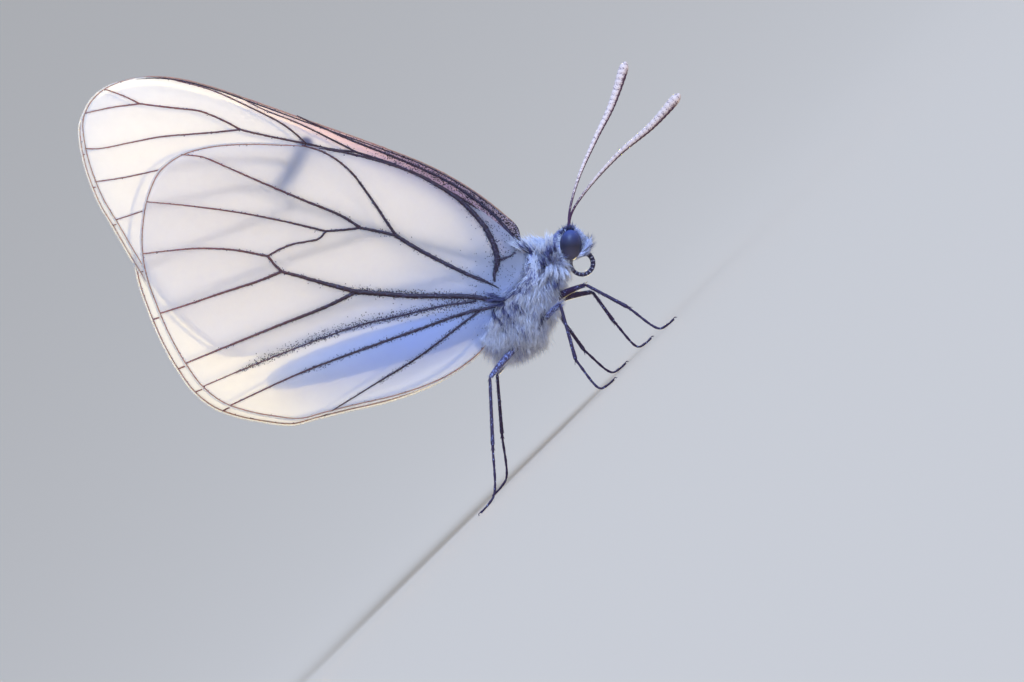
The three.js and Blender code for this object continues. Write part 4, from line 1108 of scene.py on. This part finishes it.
LAYERS = {  # count, where, guides and their reach, rise, size, width, share gathered, hairs in a lock, darkness
    "coat_thorax_under": (8000, thorax_only, HAIR_LIE, 0.8, 0.4, 0.6, 0.08, 0.2, 8, 0.04),
    "coat_thorax_long_1": (10000, thorax_only, HAIR_LIE, 0.7, 0.42, 1.15, 0.05, 0.5, 5, 0.08),
    "coat_thorax_long_2": (9000, thorax_only, HAIR_LIE, 0.7, 0.55, 1.3, 0.042, 0.45, 5, 0.06),
    "coat_thorax_loose": (3500, thorax_only, HAIR_LIE, 0.8, 0.85, 1.25, 0.028, 0.25, 6, 0.05),
    "coat_head": (8000, head_only, HEAD_LIE, 0.5, 0.5, 0.8, 0.04, 0.35, 6, 0.16),
    "coat_abdomen": (10000, abdomen_only, ABDOMEN_LIE, 2.0, 0.3, 1.0, 0.075, 0.3, 10, 0.06),
}
for layer_name, layer in LAYERS.items():
    coat(layer_name, *layer)


# The longest hairs stand round the wing hinges. They fan out over the roots of the hindwings, in dark and
# pale strands, and hide where the wings leave the thorax.

WING_ROOT_HAIR = np.array([  # x, z, lie along x, lie along z, length
    (2.98, 10.73, -0.85, -0.52, 0.9), (2.22, 9.77, -0.98, -0.2, 1.1), (1.17, 9.64, -0.99, -0.15, 1.2),
    (0.25, 9.64, -0.91, -0.42, 1.2), (-0.47, 9.72, -0.8, -0.6, 0.9), (-1.12, 9.47, -0.85, -0.53, 1.1),
    (-1.9, 9.4, -0.75, -0.65, 1.0), (-2.5, 9.2, -0.71, -0.71, 0.9), (-2.7, 8.6, -0.71, -0.71, 0.9),
    (-2.8, 8.0, -0.71, -0.71, 0.8), (-3.3, 8.6, -0.71, -0.71, 0.8), (-3.5, 9.1, -0.71, -0.71, 0.7),
])
FINE_FROM = 6  # the row from which the hair is fine and pale
STREAKS = {  # x, z where a bundle starts and x, z where it ends
    "dark": [
        (2.24, 9.37, 1.22, 9.37), (2.34, 9.67, 1.48, 9.42), (1.83, 9.47, 0.51, 9.37),
        (1.37, 9.22, 0.10, 9.37), (2.09, 9.01, 1.07, 8.91), (0.81, 9.37, -0.36, 9.52),
        (-0.20, 9.37, -1.22, 10.08), (-0.66, 9.52, -1.48, 10.34), (-0.64, 9.24, -1.32, 9.67),
        (-0.76, 9.93, -1.27, 10.74), (-0.97, 9.42, -1.63, 9.98), (2.95, 10.39, 3.21, 11.05),
        (2.55, 9.88, 2.60, 10.44), (2.80, 9.88, 2.24, 10.08), (2.72, 9.60, 2.14, 9.88),
        (2.70, 10.23, 2.90, 9.72), (3.79, 9.50, 4.12, 10.03), (4.01, 9.48, 4.38, 9.98),
        (3.18, 9.29, 3.46, 9.78), (3.03, 9.24, 3.11, 9.83), (3.64, 9.24, 3.92, 9.93),
        (4.38, 9.47, 4.68, 9.88), (3.2, 10.5, 3.15, 11.6), (3.0, 10.7, 2.75, 11.9),
        (-0.36, 9.22, -0.36, 8.50), (-0.31, 8.86, -0.41, 7.99), (-0.56, 9.22, -0.56, 8.40),
        (-1.12, 9.16, -1.32, 8.25), (-1.22, 8.86, -1.37, 7.89), (-1.37, 8.30, -1.53, 7.33),
        (-1.43, 7.84, -1.58, 6.67), (-1.58, 7.28, -1.63, 6.52), (-1.88, 9.22, -2.09, 8.20),
        (-2.04, 8.65, -2.19, 7.69), (-1.78, 9.62, -2.09, 9.01), (-1.07, 9.32, -1.43, 8.86),
        (0.56, 7.08, 0.00, 6.62), (0.43, 6.80, -0.38, 6.29), (0.92, 7.03, 0.36, 6.77),
        (2.85, 8.04, 2.44, 7.53), (3.17, 8.03, 2.72, 7.56),
    ],
    "pale": [
        (1.78, 8.71, 0.76, 8.09), (1.83, 8.35, 0.76, 7.69), (1.02, 8.65, 0.20, 8.04),
        (0.87, 7.99, -0.36, 7.28), (0.97, 7.48, -0.36, 6.77), (-0.20, 7.13, -1.48, 6.36),
        (-0.20, 6.62, -1.43, 5.80), (-1.22, 6.62, -2.09, 5.65), (-0.36, 7.99, -1.17, 7.38),
        (-0.76, 7.99, -1.43, 7.23), (3.21, 9.11, 2.39, 8.50), (3.51, 9.01, 2.85, 8.45),
        (2.65, 8.86, 1.88, 8.40), (3.67, 10.08, 4.15, 10.51), (3.44, 10.11, 3.87, 10.59),
        (4.02, 10.03, 4.86, 10.72), (4.38, 9.98, 5.01, 10.46), (3.3, 10.4, 3.35, 11.8),
        (3.1, 10.6, 3.0, 12.0), (3.5, 10.3, 3.7, 11.4), (2.8, 10.8, 2.6, 12.2), (3.61, 8.71, 3.00, 7.89),
        (3.82, 8.30, 3.36, 7.53), (3.97, 8.04, 3.82, 7.38),
    ],
}
ROOT_HAIRS = 3200
ROOT_HAIR_OVER = 0.08  # how far they stand over the middle of the wing's sheet
STREAK_HAIRS = 32
STREAK_LIFT = 0.3  # how far the bundles lie out in the coat, over the skin


def outermost(x, z):
    """How far out the body's skin or the hindwing's root reaches over points of the side view."""
    wing = WINGS["hind"]
    cos, sin = math.cos(wing["sweep"]), math.sin(wing["sweep"])
    dx, dz = x - wing["hinge"][0], z - wing["hinge"][1]
    over_wing = room_inside("hind", np.stack([dx * cos + dz * sin, dx * sin - dz * cos], axis=1)) > -0.05
    out = np.where(over_wing, wing_depth("hind", x, z) + 0.06, wing_depth("fore", x, z) + 0.06)
    for index, start in enumerate(placed(np.stack([x, np.full(len(x), -20.0), z], axis=1))):
        hit, place, _, _ = skin.ray_cast(Vector(start), Vector((0, 1, 0)))
        if hit:
            out[index] = max(out[index], STREAK_LIFT - (place.y / MM - ZERO.y))
    return out


def over_coat(places, least, most):
    """Places of the side view, set at random between two heights over what is outermost there."""
    out = outermost(places[:, 0], places[:, 1]) + rng.uniform(least, most, len(places))
    return np.stack([places[:, 0], out, places[:, 1]], axis=1)


share = rng.random(ROOT_HAIRS) * (len(WING_ROOT_HAIR) - 1.01)
low = share.astype(int)
row = WING_ROOT_HAIR[low] + (share - low)[:, None] * (WING_ROOT_HAIR[low + 1] - WING_ROOT_HAIR[low])
for side_word, side_sign in (("right", -1), ("left", 1)):
    x = row[:, 0] + rng.normal(0, 0.22, ROOT_HAIRS)
    z = row[:, 1] - np.abs(rng.normal(0, 0.35, ROOT_HAIRS))
    roots = np.stack([x, side_sign * (wing_depth("hind", x, z) + ROOT_HAIR_OVER), z], axis=1)
    turn = rng.normal(0.25, 0.4, ROOT_HAIRS)
    lies = unit(np.stack([
        row[:, 2] * np.cos(turn) - row[:, 3] * np.sin(turn), side_sign * rng.uniform(0.05, 0.35, ROOT_HAIRS),
        row[:, 2] * np.sin(turn) + row[:, 3] * np.cos(turn),
    ], axis=1))
    lengths = row[:, 4] * rng.uniform(0.55, 1.1, ROOT_HAIRS)
    tips = roots + lies * lengths[:, None]
    over_wing = wing_depth("hind", tips[:, 0], tips[:, 2]) + ROOT_HAIR_OVER
    tips[:, 1] = side_sign * np.maximum(side_sign * tips[:, 1] - 0.2, over_wing)
    tips, lock = gathered(roots, tips, 0.5, 6)
    ways = np.tile((0.0, side_sign, 0.0), (ROOT_HAIRS, 1))
    widths = np.where(low < FINE_FROM, 0.045, 0.022)
    tones = np.where(low < FINE_FROM, lock_tones(roots, lock, 0.12), 0.9)
    strands(f"wing_root_hair_{side_word}", roots, ways, lies, tips, widths, tones)

    bundles = np.array(STREAKS["dark"] + STREAKS["pale"])
    dark = np.repeat(np.arange(len(bundles)) < len(STREAKS["dark"]), STREAK_HAIRS)
    ends = np.repeat(bundles, STREAK_HAIRS, axis=0)
    span = ends[:, 2:] - ends[:, :2]
    start = ends[:, :2] + rng.uniform(-0.1, 0.4, (len(ends), 1)) * span + rng.normal(0, 0.052, span.shape)
    stop = start + rng.uniform(0.6, 1.05, (len(ends), 1)) * span + rng.normal(0, 0.09, span.shape)
    roots, tips = over_coat(start, 0.0, 0.12), over_coat(stop, 0.2, 0.6)
    lies = tips - roots + (0, 0.35, 0)
    ways = np.tile((0.0, 1.0, 0.0), (len(ends), 1))
    for values in (roots, tips, lies, ways):
        values[:, 1] *= side_sign
    tones = np.where(dark, rng.uniform(0.0, 0.24, len(ends)), rng.uniform(0.85, 1.0, len(ends)))
    widths = rng.uniform(0.028, 0.052, len(ends))
    strands(f"coat_streaks_{side_word}", roots, ways, unit(lies), tips, widths, tones)


# ---- Eyes ----
# Two large compound eyes, ovals bulging from the sides of the head, glossy and covered with minute facets.
# Their blue above is partly their own tone and partly a painted reflection of the sky; below they are
# grey-purple, in a thin pale rim.

EYE_ROOT = 0.3  # how far out from the mid plane the ball is cut off, inside the head
LASH_RING = (0.78, 1.11)  # half sizes of the ring of hairs round the eye
LASHES = (  # from and to which degree of the ring, count, length, tone, width
    (118, 262, 240, 0.22, 1.0, 0.07), (72, 145, 130, 0.42, 0.08, 0.045), (20, 75, 60, 0.40, 0.55, 0.035),
)


def eye_material():
    """Glossy facets, blue above, partly as a painted reflection of the sky, dark in the middle and grey-purple
    below.
    """
    material, tree = new_material("eye_facets", {
        "Roughness": 0.42, "Specular IOR Level": 0.25, "Coat Weight": 0.1, "Coat Roughness": 0.1,
    })
    # Towards the crown the ramp turns blue: partly the eye's own tone, partly a painted reflection of the sky.
    paint(tree, colour_ramp(tree, kept_value(tree, "height"), [
        (0, (0.13, 0.11, 0.16, 1)), (0.2, (0.075, 0.06, 0.085, 1)), (0.45, (0.03, 0.024, 0.036, 1)),
        (0.72, (0.035, 0.038, 0.095, 1)), (1, (0.07, 0.09, 0.24, 1)),
    ]))
    facets = add_node(tree, "TexVoronoi", {
        "Vector": place_on_piece(tree), "Scale": 26000, "Randomness": 0.35,
    })
    relief(tree, facets.outputs["Distance"], 0.35, 0.00001, invert=True)
    return material


def straight_hairs(name, batches):
    """Straight hairs as one mesh, from batches of roots, ways out, tips, widths and tones."""
    roots, ways, tips, widths, tones = (np.concatenate(part) for part in zip(*batches))
    strands(name, roots, ways, unit(tips - roots), tips, widths, tones)


EYE_SKIN = eye_material()
for side_word, side_sign in (("right", -1), ("left", 1)):
    front, out, up = EYE["middle"]
    middle = placed(on_head([(front, side_sign * out, up)]))[0]
    bpy.ops.mesh.primitive_uv_sphere_add(segments=64, ring_count=48, radius=MM, location=middle)
    eye = bpy.context.object
    eye.name = f"eye_{side_word}_ball"
    eye.scale = EYE["half"]
    eye.rotation_euler = (0, HEAD_DROOP, 0)
    bpy.ops.object.transform_apply(location=True, rotation=True, scale=True)
    inner = (middle[0], (ZERO.y + side_sign * EYE_ROOT) * MM, middle[2])
    bpy.ops.object.mode_set(mode="EDIT")
    bpy.ops.mesh.select_all(action="SELECT")
    bpy.ops.mesh.bisect(plane_co=inner, plane_no=(0, -side_sign, 0), use_fill=True, clear_outer=True)
    bpy.ops.object.mode_set(mode="OBJECT")
    bpy.ops.object.shade_smooth()
    # The height share runs from the bottom to the crown and sets where the painted sky reflection lies.
    crown = np.array((math.sin(HEAD_DROOP), 0, math.cos(HEAD_DROOP)))
    points = np.array([tuple(vertex.co) for vertex in eye.data.vertices])
    point_values(eye, "height", 0.5 + 0.5 * ((points - middle) @ crown) / (EYE["half"][2] * MM))
    eye.data.materials.append(EYE_SKIN)
    eye.select_set(False)
    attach(eye, "root")
    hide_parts(f"eye_{side_word}")

lashes = []
for side_sign in (-1, 1):
    for first, last, count, length, tone, width in LASHES:
        turns = np.radians(rng.uniform(first, last, count))
        radial = [LASH_RING[0] * np.cos(turns), np.zeros(count), LASH_RING[1] * np.sin(turns)]
        radial = np.stack(radial, axis=1)
        start = np.array(EYE["middle"]) * (1, side_sign, 1) + radial * 0.95
        start[:, 1] -= side_sign * rng.uniform(0.0, 0.12, count)
        away = unit(radial) + 0.25 * rng.normal(size=(count, 3))
        away[:, 1] = side_sign * np.abs(away[:, 1]) + side_sign * 0.15
        stop = start + away * (length * rng.uniform(0.6, 1.2, count))[:, None]
        tones = np.clip(tone + 0.1 * rng.normal(size=count), 0.02, 1)
        ways = np.tile((0.0, side_sign, 0.0), (count, 1))
        lashes.append((on_head(start), ways, on_head(stop), np.full(count, width), tones))
straight_hairs("eye_lashes", lashes)


# ---- Palps ----
# Two small jointed feelers that hold the coiled tongue between them. They stand up in front of the face and
# are covered with pale hair, with stiff dark bristles at their tips.

PALP_PATH = [(0.55, 0.5, -0.75), (1.1, 0.6, -0.5), (1.38, 0.56, -0.1), (1.42, 0.5, 0.3)]
PALP_HALF = [(0, 0.14), (0.3, 0.2), (0.6, 0.19), (0.85, 0.13), (1, 0.05)]
PALP_HAIRS = 420


def out_of_line(line, at):
    """Places on a line at some shares between its points, the way along it and a random way out of it."""
    low = at.astype(int).clip(0, len(line) - 2)
    step = line[low + 1] - line[low]
    run = unit(step)
    way = rng.normal(size=(len(at), 3))
    way = unit(way - np.sum(way * run, axis=1)[:, None] * run)
    return line[low] + (at - low)[:, None] * step, run, way


palp_hair = []
for side_word, side_sign in (("right", -1), ("left", 1)):
    line = on_head(smooth_line([(f, side_sign * o, u) for f, o, u in PALP_PATH], 0.08))
    half = profile_at(PALP_HALF, np.linspace(0, 1, len(line)))
    points, faces = tube(line, half, 12)
    palp = new_piece(f"palp_{side_word}_core", placed(points), faces, SKIN)
    turn_outwards(palp)
    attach(palp, "root")
    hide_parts(f"palp_{side_word}")
    at = rng.random(PALP_HAIRS) ** 0.8 * (len(line) - 1)
    middle, run, way = out_of_line(line, at)
    root = middle + way * (profile_at(PALP_HALF, at / (len(line) - 1)) * 0.9)[:, None]
    lie = unit(run * 0.7 + way * 0.45 + np.array((0.95, 0, 0.1)) * 0.5)
    bristle = rng.random(PALP_HAIRS) < 0.12
    long, short = 0.6 + 0.35 * rng.random(PALP_HAIRS), 0.3 + 0.2 * rng.random(PALP_HAIRS)
    tip = root + lie * np.where(bristle, long, short)[:, None]
    tones = np.where(bristle, 0.08, 0.6 + 0.35 * rng.random(PALP_HAIRS))
    keep = ~(in_eye(tip, 0.02) | in_eye(root, 0.02))
    widths = np.where(bristle, 0.035, 0.05)
    palp_hair.append([part[keep] for part in (root, way, tip, widths, tones)])
straight_hairs("palp_hair", palp_hair)


# ---- Tongue ----
# A slender hollow tongue, coiled under the head between the palps. It is dark and ringed with pale bands.

COIL = {"front": 1.0, "up": -1.25, "radius": 0.8, "from": 110, "to": -200, "half": 0.2, "rings": 16}
COIL_STEPS = 240
COIL_SIDES = 14
SHELL_RELIEF = 0.00001


def ringed_material(name, dark, pale, roughness, cells=22000):
    """Cuticle ringed by a share kept for each point, from dark to pale."""
    material, tree = new_material(name, {"Roughness": roughness, "Specular IOR Level": 0.3})
    share = kept_value(tree, "pale")
    speckle = add_node(tree, "Group", {"Cells": cells, "Density": share}, node_tree=SPECKLE)
    even = add_node(tree, "Math", {0: share, 1: 0.3}, operation="MULTIPLY").outputs["Value"]
    scaly = add_node(tree, "Math", {0: speckle.outputs["Mask"], 1: 0.7, 2: even}, operation="MULTIPLY_ADD")
    paint(tree, mixed(tree, scaly.outputs["Value"], dark, pale))
    relief(tree, speckle.outputs["Height"], 0.4, SHELL_RELIEF)
    return material


turns = np.radians(np.linspace(COIL["from"], COIL["to"], COIL_STEPS))
coil_line = on_head(np.stack([
    COIL["front"] + COIL["radius"] * np.cos(turns), np.zeros(COIL_STEPS),
    COIL["up"] + COIL["radius"] * np.sin(turns),
], axis=1))
coil_share = np.linspace(0, 1, COIL_STEPS)
coil_ring = np.cos(coil_share * COIL["rings"] * 2 * math.pi)
coil_half = COIL["half"] * (1 - 0.35 * coil_share) * (1 + 0.05 * coil_ring)
points, faces = tube(coil_line, coil_half, COIL_SIDES)
tongue = new_piece("tongue", placed(points), faces, ringed_material(
    "tongue_rings", (0.03, 0.02, 0.045, 1), (0.62, 0.60, 0.70, 1), 0.4,
))
turn_outwards(tongue)
point_values(tongue, "pale", np.repeat(np.clip(-0.75 + 1.2 * coil_ring, 0, 0.38), COIL_SIDES))
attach(tongue, "root")
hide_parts("proboscis")


# ---- Feelers ----
# Two feelers of some thirty-four ringed joints, thin and dark at the root and thickening to a flattened club.
# Pale pinkish scales cover their upper side, ring by ring, and the lower edge is bare and dark.

FEELERS = {
    "right": [
        (0.05, -0.34, 0.8), (0.2, -0.55, 2.2), (1.08, -1.1, 3.7), (3.5, -2.1, 6.45), (6.0, -3.0, 8.6),
        (7.9, -3.58, 10.74),
    ],
    "left": [
        (0.02, 0.34, 0.8), (0.1, 0.55, 2.4), (0.75, 1.2, 4.9), (2.0, 2.2, 7.8), (3.2, 3.1, 10.3),
        (4.25, 3.7, 13.5),
    ],
}
FEELER_HALF = [
    (0, 0.15), (0.04, 0.12), (0.07, 0.075), (0.2, 0.095), (0.4, 0.145), (0.6, 0.205), (0.8, 0.29),
    (0.92, 0.36), (0.96, 0.36), (0.985, 0.27), (1, 0.08),
]
FEELER_JOINTS = 34
FEELER_SIDES = 16
FEELER = ringed_material("feeler_scales", (0.085, 0.03, 0.06, 1), (0.86, 0.63, 0.50, 1), 0.6)
for side_word, course in FEELERS.items():
    line = on_head(smooth_line(course, 0.06))
    share = np.linspace(0, 1, len(line))
    joint = np.cos(share * FEELER_JOINTS * 2 * math.pi)
    half = profile_at(FEELER_HALF, share) * (1 + 0.035 * joint)
    points, faces = tube(line, half, FEELER_SIDES)
    feeler = new_piece(f"feeler_{side_word}", placed(points), faces, FEELER)
    turn_outwards(feeler)
    ways = unit(points.reshape(-1, FEELER_SIDES, 3) - line[:, None])
    upper = np.clip((ways @ np.array((-0.14, 0.0, 0.99)) + 0.62) / 0.35, 0, 1)
    upper = np.maximum(upper, np.clip((share - 0.93) / 0.04, 0, 1)[:, None])
    scaled = np.clip((share - 0.13) / 0.2, 0, 1)[:, None] * (0.86 + 0.14 * joint)[:, None]
    point_values(feeler, "pale", (upper * scaled).reshape(-1))
    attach(feeler, "root")
    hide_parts(f"antenna_{side_word}")


# ---- Legs ----
# Six slender legs of black cuticle. Each has a thigh dusted with grey-blue scales, a shin that ends in two
# spurs, and a foot of five joints with a pair of claws, which lies on the floor.

LEGS = {
    "front_right": [
        (2.0, -0.7, 7.1), (4.23, -2.0, 6.26), (5.2, -3.0, 3.0), (5.7, -3.6, 0.35), (6.9, -4.0, 0.1),
    ],
    "front_left": [
        (2.0, 0.7, 7.0), (4.3, 2.1, 5.5), (3.9, 3.1, 2.9), (3.85, 3.8, 0.35), (5.0, 4.2, 0.1),
    ],
    "middle_right": [
        (-0.3, -0.8, 6.5), (1.95, -2.9, 6.57), (-0.1, -4.0, 2.95), (-0.3, -4.7, 0.35), (0.85, -5.1, 0.1),
    ],
    "middle_left": [
        (-0.3, 0.8, 6.5), (1.5, 2.9, 6.6), (0.9, 4.0, 2.9), (1.2, 4.7, 0.35), (2.4, 5.1, 0.1),
    ],
    "hind_right": [
        (-1.5, -0.9, 6.6), (-5.3, -2.9, 6.4), (-8.6, -4.4, 2.8), (-10.9, -5.2, 0.35), (-12.5, -5.6, 0.1),
    ],
    "hind_left": [
        (-1.5, 0.9, 6.6), (-4.8, 2.9, 6.2), (-7.7, 4.3, 2.8), (-9.7, 5.1, 0.35), (-11.2, 5.5, 0.1),
    ],
}
THIGH_HALF = {
    "front": [(0, 0.24), (0.1, 0.28), (0.4, 0.25), (0.8, 0.17), (0.97, 0.13), (1, 0.06)],
    "middle": [(0, 0.14), (0.15, 0.2), (0.5, 0.21), (0.85, 0.16), (0.97, 0.13), (1, 0.06)],
    "hind": [(0, 0.16), (0.15, 0.235), (0.6, 0.245), (0.88, 0.2), (0.97, 0.15), (1, 0.07)],
}
SHIN_HALF = [(0, 0.06), (0.03, 0.11), (0.4, 0.115), (0.85, 0.13), (0.96, 0.15), (1, 0.08)]
FOOT_HALF = 0.088
FOOT_JOINTS = 5
CLAW_HALF = (0.035, 0.012)
SPUR_HALF = (0.04, 0.012)
LEG_SIDES = 12
LEG_DUSTING = {"front": 0.04, "middle": 0.4, "hind": 0.34}  # of pale scales on the thigh
LEG_HAIR = {  # half width of the leg, count, length, rise, tone, width
    "thigh": (0.17, 150, 0.2, 0.3, 0.12, 0.035),
    "shaggy_thigh": (0.17, 260, 0.34, 0.3, 0.42, 0.035),
    "shin": (0.11, 110, 0.2, 0.5, 0.1, 0.022),
    "foot": (0.08, 90, 0.13, 0.6, 0.08, 0.02),
}
FLOOR_GAP = 0.01
LEG = ringed_material("leg_cuticle", (0.03, 0.010, 0.035, 1), (0.30, 0.33, 0.56, 1), 0.5, 14000)

leg_hair = []
for leg_name, (root, knee, ankle, heel, toe) in LEGS.items():
    outward = np.array((0, -1.0 if "right" in leg_name else 1.0, 0))
    leg_pair = leg_name.split("_")[0]
    thigh_line = smooth_line([root, (np.array(root) + knee) / 2 + (0, 0, 0.08), knee], 0.12)
    shin_line = smooth_line([knee, (np.array(knee) + ankle) / 2 + 0.05 * outward, ankle], 0.12)
    flat = ((heel[0] + toe[0]) / 2, (heel[1] + toe[1]) / 2, 0.13)
    foot_line = smooth_line([ankle, heel, flat, toe], 0.05)
    foot_share = np.linspace(0, 1, len(foot_line))
    foot_joint = np.cos(foot_share * FOOT_JOINTS * 2 * math.pi) ** 3
    foot_half = FOOT_HALF * (1.05 - 0.2 * foot_share) * (1 + 0.16 * foot_joint)
    foot_half[-1] *= 0.5
    parts = [
        tube(thigh_line, profile_at(THIGH_HALF[leg_pair], np.linspace(0, 1, len(thigh_line))), LEG_SIDES),
        tube(shin_line, profile_at(SHIN_HALF, np.linspace(0, 1, len(shin_line))), LEG_SIDES),
        tube(foot_line, foot_half, LEG_SIDES),
    ]
    scaly = [np.full(len(part[0]), pale) for part, pale in zip(parts, (LEG_DUSTING[leg_pair], 0.05, 0.02))]
    end = foot_line[-1] - foot_line[-6]
    end /= np.linalg.norm(end)
    beside = np.cross(end, (0, 0, 1))
    for spread in (-1, 1):
        claw = [foot_line[-2], foot_line[-1] + 0.12 * end + spread * 0.07 * beside + (0, 0, 0.06)]
        claw.append(foot_line[-1] + 0.24 * end + spread * 0.11 * beside + (0, 0, -0.07))
        claw_line = smooth_line(claw, 0.04)
        parts.append(tube(claw_line, np.linspace(*CLAW_HALF, len(claw_line)), 6))
        scaly.append(np.zeros(len(parts[-1][0])))
        down = ankle - shin_line[-8]
        down /= np.linalg.norm(down)
        spur_root = np.array(ankle) - 0.1 * down
        spur = [spur_root, spur_root + 0.42 * down + spread * 0.16 * np.cross(down, outward)]
        parts.append(tube(np.linspace(*spur, 6), np.linspace(*SPUR_HALF, 6), 6))
        scaly.append(np.zeros(len(parts[-1][0])))
    points, faces = joined(parts)
    leg = new_piece(f"leg_{leg_name}", placed(points), faces, LEG)
    turn_outwards(leg)
    point_values(leg, "pale", np.concatenate(scaly))
    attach(leg, "root")
    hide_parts(f"femur_{leg_name}", f"tibia_{leg_name}", f"tarsus_{leg_name}")
    thigh_hair = "shaggy_thigh" if leg_pair == "middle" else "thigh"
    for line, stretch in ((thigh_line, thigh_hair), (shin_line, "shin"), (foot_line, "foot")):
        half, count, length, rise, tone, width = LEG_HAIR[stretch]
        middle, run, way = out_of_line(line, rng.random(count) * (len(line) - 1.01))
        start = middle + way * half * 0.85
        tip = start + unit(run + rise * way) * (length * (0.6 + 0.8 * rng.random(count)))[:, None]
        tip[:, 2] = np.maximum(tip[:, 2], FLOOR_GAP)
        tones = np.clip(tone + 0.3 * (rng.random(count) - 0.5), 0.03, 1)
        leg_hair.append((start, way, tip, np.full(count, width), tones))
straight_hairs("leg_hair", leg_hair)
